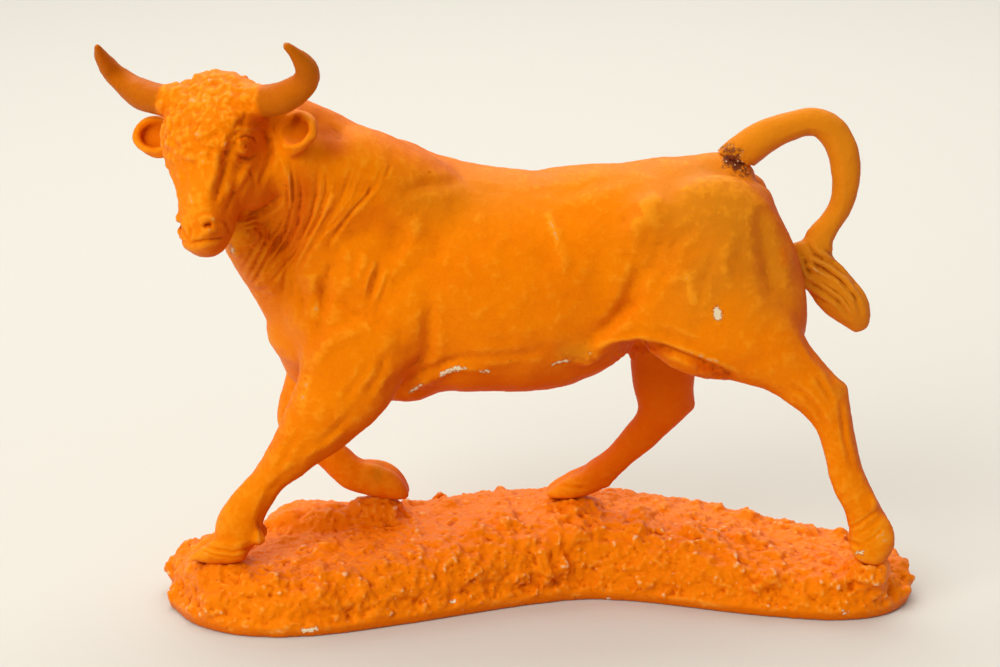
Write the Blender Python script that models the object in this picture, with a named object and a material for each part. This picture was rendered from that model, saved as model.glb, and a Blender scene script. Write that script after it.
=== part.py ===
"""Striding bull in cast metal on a rough ground base, with its tail joined on at the rump.

Metres, +Z up. The bull faces -X, its left flank is towards -Y, and the base stands on Z = 0.
The figure is drawn in units of its own length, so that one unit is a millimetre at the real size.
"""

import math
import random

import bmesh
import bpy
import numpy as np
from mathutils import Matrix, Vector

# Driving dimensions, in metres
FIGURE_LENGTH = 0.480  # horn tip to tail switch
GROUND_HEIGHT = 0.034  # underside of the base to the sole of the forward hoof
RIM_HEIGHT = 0.009  # plain band round the foot of the base
RIM_SETBACK = 0.0035  # how far the soil stands back from the band's edge
FIT_GAP = 0.0004  # clearance between pieces that touch
HOOF_SINK = 0.0015  # how deep the hooves are bedded in the soil

# Fineness of the faceted solids
TRUNK_VOXEL = 0.0030
LIMB_VOXEL = 0.0022
DETAIL_VOXEL = 0.0016
BULL_TRIANGLES = 6400
TAIL_TRIANGLES = 700
BASE_TRIANGLES = 2400

UNIT = FIGURE_LENGTH / 480.0
DRAWN_GROUND = 34.0  # sole of the forward hoof above the drawing's zero, in units
LIFT = GROUND_HEIGHT - DRAWN_GROUND * UNIT

# The ground spreads round four places under the feet: x, y, spread and height of the soil, in units
GROUND_LOBES = (
    (-134.0, -9.5, 68.0, 33.0),
    (44.0, 34.0, 54.0, 44.0),
    (186.0, 5.0, 54.0, 28.0),
    (206.0, -9.0, 44.0, 27.0),
)
END_DROP = 0.33  # share of the soil's height lost at its two ends
END_RUN = 20.0  # units over which it is lost
CLOD_COUNT = 240
CLOD_SEED = 11

# Directions used by the lofts
ACROSS = Vector((0.0, 1.0, 0.0))
UP = Vector((0.0, 0.0, 1.0))

# The head's own frames have +X along the bull's left, +Y out of the forehead, +Z towards the poll.
# Each is a place for the poll in units, then yaw, pitch and roll in degrees.
FACE_TURN = ((-159.8, -55.0, 322.6), 54.0, 62.0, -8.0)
CROWN_TURN = ((-159.2, -55.0, 322.2), 64.0, 60.0, -4.0)
HEAD_SCALE = 0.9
NEAR_EAR_SET_BACK = Vector((0.0, -11.0, 8.0))

# Where each foot meets the soil: x, y, sole height and half size along and across, in units
FEET = {
    "near_fore": ((-164.0, -38.0, 34.0), (24.0, 13.0)),
    "far_fore": ((-74.0, 26.0, 50.0), (15.0, 10.0)),
    "near_hind": ((221.0, -35.0, 34.0), (15.0, 12.0)),
    "far_hind": ((44.0, 27.0, 51.0), (20.0, 11.0)),
}


def clear_scene():
    for old in list(bpy.data.objects):
        bpy.data.objects.remove(old, do_unlink=True)


def placed(point):
    """A drawing point in units, as a place in metres."""
    return Vector((point[0] * UNIT, point[1] * UNIT, point[2] * UNIT + LIFT))


def curve_through(rows, steps):
    """Points on a smooth curve through rows of numbers, a row to a station, with steps spans between two."""
    rows = [np.array(row, float) for row in rows]
    padded = [2 * rows[0] - rows[1]] + rows + [2 * rows[-1] - rows[-2]]
    found = []
    for before, start, end, after in zip(padded, padded[1:], padded[2:], padded[3:]):
        for step in range(steps):
            t = step / steps
            found.append(
                0.5
                * (
                    2 * start
                    + (end - before) * t
                    + (2 * before - 5 * start + 4 * end - after) * t**2
                    + (3 * start - before - 3 * end + after) * t**3
                )
            )
    found.append(rows[-1])
    return found


def add_loft(body, stations, side=ACROSS, segments=24, steps=6, frame=None, square=2.0, domed=True):
    """Adds a closed tube to a bmesh. A station is x, y, z, half size across and half size in depth, in units.

    The ends are domed, or left flat. frame carries a station's point from its own frame into the drawing.
    """
    rows = curve_through(stations, steps)
    centres = [Vector(row[:3]) for row in rows]
    if frame is not None:
        centres = [frame @ centre for centre in centres]
        side = frame.to_3x3() @ side
    tangents = []
    for index in range(len(centres)):
        ahead = centres[min(index + 1, len(centres) - 1)]
        behind = centres[max(index - 1, 0)]
        tangents.append((ahead - behind).normalized())
    last = len(rows) - 1
    doming = [math.pi / 2 * (step + 0.5) / 5 for step in range(5)] if domed else []
    rings = [(0, -angle) for angle in reversed(doming)]
    rings += [(index, 0.0) for index in range(last + 1)]
    rings += [(last, angle) for angle in doming]
    profiles = []
    for index, angle in rings:
        tangent = tangents[index]
        across = (side - tangent * side.dot(tangent)).normalized()
        depth = tangent.cross(across).normalized()
        half_side, half_depth = rows[index][3:5]
        middle = centres[index] + tangent * math.sin(angle) * min(half_side, half_depth) * 0.8
        shrink = math.cos(angle)
        profiles.append((middle, across * half_side * shrink, depth * half_depth * shrink))
    made = []
    for centre, across, depth in profiles:
        ring = []
        for step in range(segments):
            angle = 2 * math.pi * step / segments
            c, s = math.cos(angle), math.sin(angle)
            c = math.copysign(abs(c) ** (2 / square), c)
            s = math.copysign(abs(s) ** (2 / square), s)
            ring.append(body.verts.new(placed(centre + across * c + depth * s)))
        made.append(ring)
    for first, second in zip(made, made[1:]):
        for step in range(segments):
            after = (step + 1) % segments
            body.faces.new((first[step], first[after], second[after], second[step]))
    body.faces.new(list(reversed(made[0])))
    body.faces.new(made[-1])


def add_ball(body, centre, radii, turn=(0.0, 0.0, 0.0), frame=None):
    """Adds an ellipsoid to a bmesh: centre and radii in units, turn in degrees about X, Y and Z."""
    size = Matrix.Diagonal((*radii, 1.0))
    turned = Matrix.Identity(4)
    for angle, axis in zip(turn, "XYZ"):
        turned = Matrix.Rotation(math.radians(angle), 4, axis) @ turned
    drawn = Matrix.Translation(centre) @ turned @ size
    if frame is not None:
        drawn = frame @ drawn
    made = bmesh.ops.create_icosphere(body, subdivisions=3, radius=1.0)
    for vertex in made["verts"]:
        vertex.co = placed(drawn @ vertex.co)


def mesh_object(name, body):
    """The bmesh as an object in the scene, with its faces pointing out."""
    bmesh.ops.recalc_face_normals(body, faces=body.faces)
    mesh = bpy.data.meshes.new(name)
    body.to_mesh(mesh)
    body.free()
    made = bpy.data.objects.new(name, mesh)
    bpy.context.scene.collection.objects.link(made)
    return made


def fused(name, body, voxel, softness, base=None):
    """One skin round every closed shape in the bmesh and the base, smoothed over about softness metres."""
    if base is not None:
        body.from_mesh(base.data)
        bpy.data.objects.remove(base, do_unlink=True)
    made = mesh_object(name, body)
    remesh = made.modifiers.new("Fuse", "REMESH")
    remesh.mode = "VOXEL"
    remesh.voxel_size = voxel
    smooth = made.modifiers.new("Soften", "SMOOTH")
    smooth.factor = 0.5
    smooth.iterations = max(1, round(2.0 * (softness / voxel) ** 2))
    return applied(made)


def applied(made):
    """The object with its modifiers applied to its mesh."""
    bpy.context.view_layer.update()
    graph = bpy.context.evaluated_depsgraph_get()
    mesh = bpy.data.meshes.new_from_object(made.evaluated_get(graph))
    made.modifiers.clear()
    made.data = mesh
    return made


def head_frame(turn):
    """The matrix to the drawing from the head's frame with the given turn."""
    poll = Vector(turn[0])
    yaw, pitch, roll = (math.radians(angle) for angle in turn[1:])
    forward = Vector((-math.cos(yaw), -math.sin(yaw), 0.0))
    left = UP.cross(forward)
    turned = Matrix.Rotation(-roll, 3, forward)
    left, upright = turned @ left, turned @ UP
    crown = math.sin(pitch) * upright - math.cos(pitch) * forward
    brow = math.cos(pitch) * upright + math.sin(pitch) * forward
    frame = (Matrix((left, brow, crown)).transposed() * HEAD_SCALE).to_4x4()
    frame.translation = poll
    return frame


def add_trunk(body):
    """Barrel, chest, neck and the large muscles over shoulder and thigh."""
    # Barrel: x, y, z of the middle, half width, half height
    add_loft(
        body,
        [
            (-108.0, -2.0, 192.0, 30.0, 46.0),
            (-82.0, 0.0, 197.0, 42.0, 66.0),
            (-58.0, 0.0, 201.0, 46.0, 74.0),
            (-28.0, 0.0, 199.5, 49.0, 70.0),
            (0.0, 0.0, 196.5, 51.0, 68.0),
            (30.0, 0.0, 199.5, 49.0, 67.5),
            (56.0, 0.0, 209.5, 46.0, 59.5),
            (82.0, 0.0, 217.0, 45.0, 53.0),
            (108.0, 0.0, 226.0, 40.0, 47.0),
            (132.0, 0.0, 227.0, 32.0, 40.0),
        ],
        segments=32,
    )
    # Neck, from between the shoulders to the back of the head
    add_loft(
        body,
        [
            (-66.0, 0.0, 214.0, 38.0, 70.0),
            (-88.0, -5.0, 234.0, 38.0, 66.0),
            (-108.0, -16.0, 251.0, 36.0, 60.0),
            (-124.0, -26.0, 264.0, 30.0, 50.0),
            (-135.0, -37.0, 276.0, 26.0, 40.0),
        ],
        side=Vector((0.45, 0.9, 0.0)),
        segments=28,
    )
    # Muscle from behind the near jaw to the point of the shoulder
    add_loft(
        body,
        [
            (-112.0, -47.0, 272.0, 8.0, 10.0),
            (-110.0, -45.0, 256.0, 9.0, 13.0),
            (-108.0, -41.0, 236.0, 9.0, 15.0),
            (-108.0, -36.0, 208.0, 9.0, 14.0),
        ],
        side=Vector((0.3, 0.95, 0.0)),
    )
    # Crest of the neck
    add_loft(
        body,
        [
            (-126.0, -42.0, 305.0, 15.0, 14.5),
            (-111.0, -30.0, 293.5, 17.0, 16.5),
            (-95.0, -17.0, 281.0, 17.0, 19.5),
            (-79.0, -6.0, 267.0, 17.0, 19.5),
            (-60.0, 0.0, 262.0, 16.0, 18.0),
        ],
        side=Vector((0.6, 0.8, 0.0)),
    )
    # Breast and brisket
    add_ball(body, (-106.0, -4.0, 176.0), (34.0, 32.0, 38.0), (0.0, 20.0, 0.0))
    add_ball(body, (-110.0, 2.0, 152.0), (24.0, 22.0, 24.0))
    add_ball(body, (-58.0, 0.0, 141.0), (28.0, 24.0, 20.0))
    # Withers
    add_ball(body, (-62.0, 2.0, 262.0), (32.0, 16.0, 21.0), (0.0, 14.0, 0.0))
    for y_sign in (-1.0, 1.0):
        # Shoulder blade, upper arm and the muscle behind it
        add_ball(body, (-78.0, 29.0 * y_sign, 214.0), (30.0, 20.0, 54.0), (0.0, -16.0, 0.0))
        add_ball(body, (-74.0, 33.0 * y_sign, 168.0), (28.0, 19.0, 34.0), (0.0, 24.0, 0.0))
        add_ball(body, (-104.0, 26.0 * y_sign, 182.0), (22.0, 18.0, 30.0), (0.0, -24.0, 0.0))
        add_ball(body, (-54.0, 37.0 * y_sign, 192.0), (19.0, 13.0, 34.0), (0.0, 26.0, 0.0))
        # Haunch, thigh and buttock
        add_ball(body, (120.0, 27.0 * y_sign, 216.0), (45.0, 21.0, 53.0), (0.0, 18.0, 0.0))
        add_ball(body, (151.0, 22.0 * y_sign, 200.0), (28.0, 20.0, 60.0), (0.0, -14.0, 0.0))
        add_ball(body, (88.0, 34.0 * y_sign, 240.0), (15.0, 11.0, 17.0), (0.0, 30.0, 0.0))
        add_ball(body, (148.0, 15.0 * y_sign, 244.0), (14.0, 10.0, 16.0))
        add_ball(body, (100.0, 37.5 * y_sign, 206.0), (13.0, 11.0, 34.0), (0.0, 24.0, 0.0))
    # The thigh follows its leg: the near one back, the far one forward
    add_ball(body, (128.0, -38.0, 204.0), (15.0, 12.0, 44.0), (0.0, -6.0, 0.0))
    add_ball(body, (155.0, -29.0, 202.0), (12.0, 13.0, 44.0), (0.0, -14.0, 0.0))
    add_ball(body, (122.0, 38.0, 204.0), (15.0, 12.0, 44.0), (0.0, 16.0, 0.0))
    add_ball(body, (149.0, 29.0, 210.0), (12.0, 13.0, 40.0), (0.0, 8.0, 0.0))
    # Root of the tail
    add_ball(body, (126.0, 0.0, 258.0), (26.0, 15.0, 17.0), (0.0, -8.0, 0.0))


def add_near_limbs(body):
    """The two legs on the side towards -Y."""
    add_loft(
        body,
        [
            (-78.0, -34.0, 178.0, 17.0, 34.0),
            (-88.0, -37.0, 152.0, 16.5, 31.0),
            (-95.5, -38.0, 136.0, 15.5, 27.0),
            (-109.5, -38.5, 117.5, 13.5, 20.5),
            (-120.0, -38.5, 105.0, 12.5, 16.0),
            (-128.0, -38.5, 96.0, 12.5, 13.2),
            (-137.5, -38.5, 85.5, 9.5, 10.4),
            (-146.5, -38.5, 73.0, 9.0, 11.4),
            (-154.0, -38.5, 60.5, 11.0, 13.8),
            (-157.5, -38.5, 50.5, 12.0, 14.5),
        ],
    )
    add_loft(
        body,
        [
            (106.0, -31.0, 206.0, 19.0, 42.0),
            (123.0, -34.0, 186.0, 19.0, 41.0),
            (146.5, -36.0, 171.5, 16.5, 30.0),
            (164.5, -36.5, 158.0, 13.5, 20.5),
            (178.0, -36.5, 145.5, 11.5, 16.5),
            (190.5, -36.0, 133.0, 10.5, 14.8),
            (198.0, -35.5, 116.0, 8.5, 11.5),
            (203.3, -35.0, 96.0, 7.5, 10.5),
            (208.5, -35.0, 80.0, 9.0, 11.0),
            (215.0, -35.0, 68.0, 9.0, 10.4),
            (220.0, -35.0, 56.0, 10.5, 12.0),
        ],
    )
    add_ball(body, (199.5, -35.5, 137.5), (6.0, 6.5, 9.0), (0.0, 20.0, 0.0))


def add_far_limbs(body):
    """The folded foreleg and the advancing hind leg on the side towards +Y."""
    add_loft(
        body,
        [
            (-88.0, 26.0, 170.0, 16.0, 28.0),
            (-102.0, 28.0, 148.0, 15.0, 24.0),
            (-114.0, 28.0, 126.0, 13.0, 19.0),
            (-124.0, 27.0, 107.0, 12.0, 14.5),
            (-126.0, 26.0, 96.0, 11.5, 12.5),
        ],
    )
    add_loft(
        body,
        [
            (-125.0, 26.0, 99.0, 11.0, 12.5),
            (-113.5, 26.0, 86.5, 10.0, 11.0),
            (-103.0, 26.0, 75.5, 9.0, 10.6),
            (-92.5, 26.0, 66.0, 9.5, 10.8),
            (-83.5, 26.0, 63.0, 9.5, 11.0),
        ],
    )
    add_loft(
        body,
        [
            (82.0, 26.0, 196.0, 17.0, 34.0),
            (95.0, 28.0, 168.0, 17.0, 30.0),
            (100.5, 28.0, 146.0, 14.5, 21.5),
            (100.0, 27.5, 129.0, 12.5, 20.2),
            (101.0, 27.5, 113.0, 11.5, 18.0),
            (94.0, 27.5, 98.0, 9.5, 12.2),
            (81.5, 27.5, 83.5, 8.5, 10.2),
            (71.0, 27.5, 73.0, 9.5, 8.6),
            (60.0, 27.5, 66.0, 10.0, 9.0),
        ],
    )
    add_ball(body, (115.0, 27.5, 112.0), (7.0, 6.5, 8.0), (0.0, -20.0, 0.0))


def add_soft_parts(body):
    """Dewlap, flank folds, sheath and scrotum."""
    add_loft(
        body,
        [
            (-150.0, -50.0, 242.0, 12.0, 11.0),
            (-143.0, -40.0, 226.0, 12.0, 15.5),
            (-131.5, -26.0, 204.0, 12.0, 18.5),
            (-122.0, -12.0, 178.0, 13.0, 18.0),
            (-117.0, -4.0, 158.0, 13.0, 16.0),
        ],
        side=Vector((0.45, 0.9, 0.0)),
    )
    for y_sign in (-1.0, 1.0):
        add_loft(
            body,
            [
                (48.0, 36.0 * y_sign, 160.0, 5.0, 8.0),
                (70.0, 41.0 * y_sign, 177.0, 5.0, 8.0),
                (92.0, 42.0 * y_sign, 180.0, 6.0, 10.0),
                (114.0, 40.0 * y_sign, 176.0, 8.0, 12.0),
            ],
            steps=4,
        )
    # Sheath
    add_loft(
        body,
        [
            (30.0, 0.0, 145.0, 12.0, 8.0),
            (48.0, 0.0, 158.0, 9.0, 7.0),
            (64.0, 2.0, 161.5, 8.0, 8.0),
            (82.0, 2.0, 166.0, 8.0, 8.0),
        ],
    )
    # Scrotum
    add_ball(body, (128.0, 0.0, 173.0), (15.0, 14.0, 21.0), (0.0, 24.0, 0.0))
    add_ball(body, (126.0, 0.0, 184.0), (14.0, 14.0, 22.0))


def add_skull(body, frame):
    """Forehead, cheeks, jaw and muzzle, in the face's frame."""
    # Face: x, y, z of the middle, half width, half depth
    add_loft(
        body,
        [
            (-2.0, -14.0, -1.0, 25.0, 18.0),
            (-3.5, -14.0, -14.0, 28.5, 23.0),
            (-4.0, -15.5, -30.0, 28.0, 25.0),
            (-3.0, -16.0, -44.0, 24.0, 24.5),
            (0.5, -15.0, -59.0, 17.5, 19.0),
            (3.0, -15.0, -73.0, 14.5, 16.5),
            (3.5, -16.0, -86.0, 14.5, 16.0),
            (4.0, -17.0, -94.0, 12.0, 13.0),
        ],
        side=Vector((1.0, 0.0, 0.0)),
        frame=frame,
        segments=28,
        square=2.8,
    )
    for side in (-1.0, 1.0):
        # Cheek, jaw, eye, brow and wing of the nostril
        add_ball(body, (16.0 * side - 1.5, -36.0, -44.0), (10.5, 23.0, 25.0), (16.0, 0.0, 0.0), frame)
        add_ball(body, (28.5 * side - 3.5, -11.5, -36.5), (5.0, 5.5, 5.5), (0.0, 0.0, 0.0), frame)
        add_ball(body, (22.5 * side - 4.0, -2.0, -30.0), (8.0, 8.5, 9.0), (0.0, 0.0, 0.0), frame)
        add_ball(body, (9.5 * side + 3.0, -5.5, -89.5), (5.0, 5.0, 7.0), (0.0, 0.0, 0.0), frame)
    # Curly poll, lip and chin
    add_ball(body, (1.0, -9.0, -6.0), (28.0, 17.0, 9.5), (0.0, 0.0, 0.0), frame)
    add_ball(body, (27.0, -13.0, -1.0), (12.0, 9.0, 7.0), (0.0, 0.0, 0.0), frame)
    add_ball(body, (3.5, -12.0, -93.0), (12.0, 9.0, 9.0), (0.0, 0.0, 0.0), frame)
    add_ball(body, (3.5, -26.0, -90.0), (10.0, 7.5, 9.0), (0.0, 0.0, 0.0), frame)


def ear_set_back(side):
    """How far the ear on one side is turned back from where its fellow stands."""
    return NEAR_EAR_SET_BACK if side > 0.0 else Vector()


def add_horns_and_ears(body, frame):
    """Both horns and both ears, mirrored across the head."""
    for side in (-1.0, 1.0):
        add_loft(
            body,
            [
                (18.0 * side, -5.0, -7.0, 9.0, 9.0),
                (31.0 * side, -4.0, -7.7, 9.6, 9.6),
                (43.0 * side, -2.6, -6.9, 9.4, 9.4),
                (55.0 * side, -1.0, -3.9, 8.8, 8.8),
                (65.5 * side, 2.0, 1.7, 7.6, 7.6),
                (72.0 * side, 9.5, 6.5, 6.8, 6.8),
                (72.0 * side, 22.0, 10.4, 5.0, 5.0),
                (68.5 * side, 33.4, 13.8, 2.2, 2.2),
            ],
            side=UP,
            frame=frame,
            segments=20,
        )
        add_loft(
            body,
            [
                (24.0 * side, -20.0, -22.0, 5.0, 8.0),
                (35.0 * side, -21.0, -24.0, 5.0, 12.0),
                (46.0 * side, -20.0, -26.0, 5.0, 14.0),
                (56.0 * side, -17.0, -27.0, 4.0, 11.0),
                (63.0 * side, -15.0, -28.0, 2.4, 5.0),
            ],
            side=Vector((0.0, 1.0, 0.0)),
            frame=frame @ Matrix.Translation(ear_set_back(side)),
            segments=20,
        )


def add_ear_cups_and_nostrils(body):
    """What the ears and nostrils are hollowed out with."""
    face, crown = head_frame(FACE_TURN), head_frame(CROWN_TURN)
    for side in (-1.0, 1.0):
        cup = Vector((48.0 * side, -13.0, -26.0)) + ear_set_back(side)
        add_ball(body, cup, (12.0, 7.5, 8.5), (0.0, 0.0, 0.0), crown)
        add_ball(body, (3.0 + 9.5 * side, -3.0, -90.5), (3.4, 3.6, 4.6), (0.0, 0.0, 0.0), face)


def add_feet(body):
    """Four cloven hooves with their dewclaws."""
    # Forward near hoof
    for split in (-1.0, 1.0):
        add_loft(
            body,
            [
                (-156.0, -38.5 + 5.5 * split, 44.0, 7.0, 10.0),
                (-166.0, -38.5 + 6.0 * split, 42.0, 7.0, 8.5),
                (-176.0, -38.5 + 5.8 * split, 39.5, 6.4, 6.0),
                (-184.0, -38.5 + 4.5 * split, 37.0, 4.2, 3.0),
            ],
            steps=4,
        )
        add_ball(body, (-143.0, -38.5 + 6.5 * split, 50.0), (4.5, 4.0, 5.5))
    # Folded far hoof
    for split in (-1.0, 1.0):
        add_loft(
            body,
            [
                (-85.0, 26.0 + 4.5 * split, 64.0, 6.4, 10.0),
                (-75.0, 26.0 + 5.2 * split, 62.5, 6.6, 11.0),
                (-65.0, 26.0 + 4.8 * split, 57.0, 5.8, 8.0),
                (-59.0, 26.0 + 4.0 * split, 53.0, 4.0, 4.0),
            ],
            steps=4,
        )
    # Near hind hoof
    for split in (-1.0, 1.0):
        add_loft(
            body,
            [
                (221.0, -35.0 + 4.6 * split, 57.0, 6.0, 12.0),
                (223.0, -35.0 + 5.0 * split, 48.0, 6.4, 13.5),
                (221.0, -35.0 + 5.0 * split, 40.0, 6.2, 12.5),
                (219.5, -35.0 + 5.0 * split, 36.0, 5.6, 11.0),
            ],
            steps=4,
        )
        add_ball(body, (221.0, -35.0 + 5.5 * split, 70.5), (4.0, 3.6, 4.6))
    # Far hind hoof
    for split in (-1.0, 1.0):
        add_loft(
            body,
            [
                (58.0, 27.5 + 4.6 * split, 62.0, 6.2, 8.5),
                (47.0, 27.5 + 5.0 * split, 58.5, 6.4, 8.0),
                (37.0, 27.5 + 4.8 * split, 55.0, 5.8, 5.6),
                (30.0, 27.5 + 4.0 * split, 53.0, 4.0, 3.0),
            ],
            steps=4,
        )
        add_ball(body, (66.0, 27.5 + 5.5 * split, 61.0), (4.0, 3.6, 4.4))


def add_tail(body):
    """The tail's switch-ended loop, free from the rump to where the hair touches the thigh."""
    add_loft(
        body,
        [
            (128.0, 0.0, 262.0, 8.0, 9.0),
            (139.5, 0.0, 272.5, 9.0, 11.0),
            (155.0, 0.0, 284.0, 8.4, 10.2),
            (169.0, 0.0, 290.0, 7.8, 8.6),
            (182.5, 0.0, 293.0, 7.6, 8.4),
            (193.5, 0.0, 288.0, 7.6, 9.2),
            (201.0, -1.0, 275.5, 7.4, 9.4),
            (203.5, -2.0, 260.0, 7.0, 8.6),
            (201.5, -3.0, 245.0, 6.6, 7.2),
            (195.0, -4.0, 233.5, 6.2, 7.0),
            (187.0, -5.0, 223.5, 6.4, 8.2),
        ],
        steps=4,
    )
    add_loft(
        body,
        [
            (187.0, -6.0, 222.0, 6.0, 9.0),
            (187.5, -6.0, 208.0, 7.5, 11.0),
            (198.0, -6.0, 193.0, 8.5, 13.5),
            (209.5, -6.0, 180.5, 7.0, 12.0),
            (215.5, -6.0, 169.0, 3.0, 6.0),
        ],
        steps=4,
    )
    # Hair of the switch lying against the thigh
    add_ball(body, (177.0, -9.0, 208.0), (16.0, 7.0, 15.0), (0.0, 20.0, 0.0))


def ground_stations(spread):
    """Stations of the ground along X, round discs swept through the lobes. spread widens the plan."""
    discs = curve_through(GROUND_LOBES, 24)
    first = min(disc[0] - disc[2] for disc in discs) - spread
    last = max(disc[0] + disc[2] for disc in discs) + spread
    stations = []
    count = 48
    for step in range(count + 1):
        x = 0.5 * (first + last) - 0.5 * (last - first) * 0.9995 * math.cos(math.pi * step / count)
        fronts, backs, heights, weights = [], [], [], []
        for centre_x, centre_y, radius, height in discs:
            reach = (radius + spread) ** 2 - (x - centre_x) ** 2
            if reach <= 0.0:
                continue
            fronts.append(centre_y - math.sqrt(reach))
            backs.append(centre_y + math.sqrt(reach))
            heights.append(height * reach**2)
            weights.append(reach**2)
        if not fronts:
            continue
        front, back = min(fronts), max(backs)
        kept = 1.0 - END_DROP * math.exp(-min(x - first, last - x) / END_RUN)
        height = kept * sum(heights) / sum(weights)
        stations.append((x, 0.5 * (front + back), 0.5 * (back - front), height))
    return stations


def add_ground(body):
    """The soil, the plain band at its foot, clods, and a bed under each hoof."""
    drop = -LIFT / UNIT
    soil = [(x, y, drop, half, height) for x, y, half, height in ground_stations(-RIM_SETBACK / UNIT)]
    band = [(x, y, drop, half, RIM_HEIGHT / UNIT) for x, y, half, height in ground_stations(0.0)]
    add_loft(body, soil, segments=48, steps=1, square=3.6, domed=False)
    add_loft(body, band, segments=48, steps=1, square=9.0, domed=False)
    chance = random.Random(CLOD_SEED)
    for _ in range(CLOD_COUNT):
        wanted = chance.uniform(soil[1][0], soil[-2][0])
        x, y, _, half, height = min(soil, key=lambda station: abs(station[0] - wanted))
        angle = math.pi * chance.uniform(0.04, 0.96)
        across = math.copysign(abs(math.cos(angle)) ** (2 / 3.6), math.cos(angle))
        rise = abs(math.sin(angle)) ** (2 / 3.6)
        size = chance.uniform(3.5, 9.0)
        place = (wanted, y + half * across - 0.25 * size * across, drop + height * rise - 0.3 * size)
        add_ball(body, place, (size, size * chance.uniform(0.7, 1.2), size * chance.uniform(0.7, 1.0)))
    for (x, y, z), (along, across) in FEET.values():
        add_ball(body, (x, y, z + HOOF_SINK / UNIT - 10.0), (along, across + 4.0, 10.0))
    # Lump carrying the folded foot, and the mound in front of it
    add_ball(body, (-77.0, 26.0, 40.0), (19.0, 15.0, 12.0))
    add_ball(body, (-114.0, 26.0, 33.5), (34.0, 20.0, 13.0))


def thinned(made, triangles):
    """The object with its mesh brought down to about the given number of triangles."""
    made.data.calc_loop_triangles()
    decimate = made.modifiers.new("Thin", "DECIMATE")
    decimate.ratio = triangles / len(made.data.loop_triangles)
    return applied(made)


def hollowed(made, name, body):
    """The object less the closed shapes in the bmesh."""
    cutter = mesh_object(name, body)
    cut = made.modifiers.new("Hollow", "BOOLEAN")
    cut.operation = "DIFFERENCE"
    cut.solver = "EXACT"
    cut.object = cutter
    applied(made)
    bpy.data.objects.remove(cutter, do_unlink=True)
    return made


def cut_away(made, other):
    """The object less another one, with the fit gap kept between them."""
    cutter = bpy.data.objects.new("cutter", other.data.copy())
    bpy.context.scene.collection.objects.link(cutter)
    grow = cutter.modifiers.new("Gap", "DISPLACE")
    grow.mid_level = 0.0
    grow.strength = FIT_GAP
    cut = made.modifiers.new("Fit", "BOOLEAN")
    cut.operation = "DIFFERENCE"
    cut.solver = "EXACT"
    cut.use_self = True
    cut.object = cutter
    applied(made)
    bpy.data.objects.remove(cutter, do_unlink=True)
    return made


def flat_below(made, height):
    """The object cut off level at a height, with a flat face closing it."""
    body = bmesh.new()
    body.from_mesh(made.data)
    geometry = body.verts[:] + body.edges[:] + body.faces[:]
    level = (0.0, 0.0, height)
    cut = bmesh.ops.bisect_plane(
        body, geom=geometry, dist=1e-6, plane_co=level, plane_no=-UP, clear_outer=True
    )
    edges = [item for item in cut["geom_cut"] if isinstance(item, bmesh.types.BMEdge)]
    bmesh.ops.contextual_create(body, geom=edges)
    bmesh.ops.triangulate(body, faces=[face for face in body.faces if len(face.verts) > 4])
    body.to_mesh(made.data)
    body.free()
    return made


def finished(made, name, colour, roughness, metallic):
    """Names the object, shades it smooth and gives it its own material."""
    made.name = name
    made.data.name = name
    material = bpy.data.materials.new(name)
    material.use_nodes = True
    shader = material.node_tree.nodes["Principled BSDF"]
    shader.inputs["Base Color"].default_value = (*colour, 1.0)
    shader.inputs["Roughness"].default_value = roughness
    shader.inputs["Metallic"].default_value = metallic
    made.data.materials.clear()
    made.data.materials.append(material)
    for face in made.data.polygons:
        face.use_smooth = True
    return made


def centre_over_origin(pieces):
    """Moves the pieces together so that the box round them stands centred on the origin."""
    corners = [vertex.co for piece in pieces for vertex in piece.data.vertices]
    middle = [(min(c[axis] for c in corners) + max(c[axis] for c in corners)) / 2 for axis in (0, 1)]
    for piece in pieces:
        piece.data.transform(Matrix.Translation((-middle[0], -middle[1], 0.0)))
    return middle


def build_bull():
    body = bmesh.new()
    add_trunk(body)
    trunk = fused("trunk", body, TRUNK_VOXEL, 0.0038)
    body = bmesh.new()
    add_near_limbs(body)
    add_far_limbs(body)
    add_soft_parts(body)
    add_skull(body, head_frame(FACE_TURN))
    limbed = fused("limbed", body, LIMB_VOXEL, 0.0030, trunk)
    body = bmesh.new()
    add_horns_and_ears(body, head_frame(CROWN_TURN))
    add_feet(body)
    return fused("bull", body, DETAIL_VOXEL, 0.0010, limbed)


def build_tail():
    body = bmesh.new()
    add_tail(body)
    return fused("tail", body, DETAIL_VOXEL, 0.0010)


def build_ground():
    body = bmesh.new()
    add_ground(body)
    return fused("ground_base", body, LIMB_VOXEL, 0.0008)


def main():
    clear_scene()
    bull = thinned(build_bull(), BULL_TRIANGLES)
    hollows = bmesh.new()
    add_ear_cups_and_nostrils(hollows)
    bull = hollowed(bull, "hollows", hollows)
    tail = cut_away(thinned(build_tail(), TAIL_TRIANGLES), bull)
    ground = flat_below(cut_away(thinned(build_ground(), BASE_TRIANGLES), bull), 0.0)
    middle = centre_over_origin([bull, tail, ground])
    finished(bull, "bull", (0.83, 0.23, 0.012), 0.55, 0.0)
    finished(tail, "tail", (0.62, 0.20, 0.02), 0.55, 0.0)
    finished(ground, "ground_base", (0.78, 0.20, 0.012), 0.75, 0.0)
    return middle


if __name__ == "__main__":
    main()
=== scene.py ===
"""Dressed model of a striding bull in painted cast metal on a rough ground base."""

import logging
import math
from collections.abc import Callable, Sequence
from dataclasses import dataclass, field, replace
from enum import Enum

import bmesh
import bpy
import numpy as np
from mathutils import Matrix, Vector, noise


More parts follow.
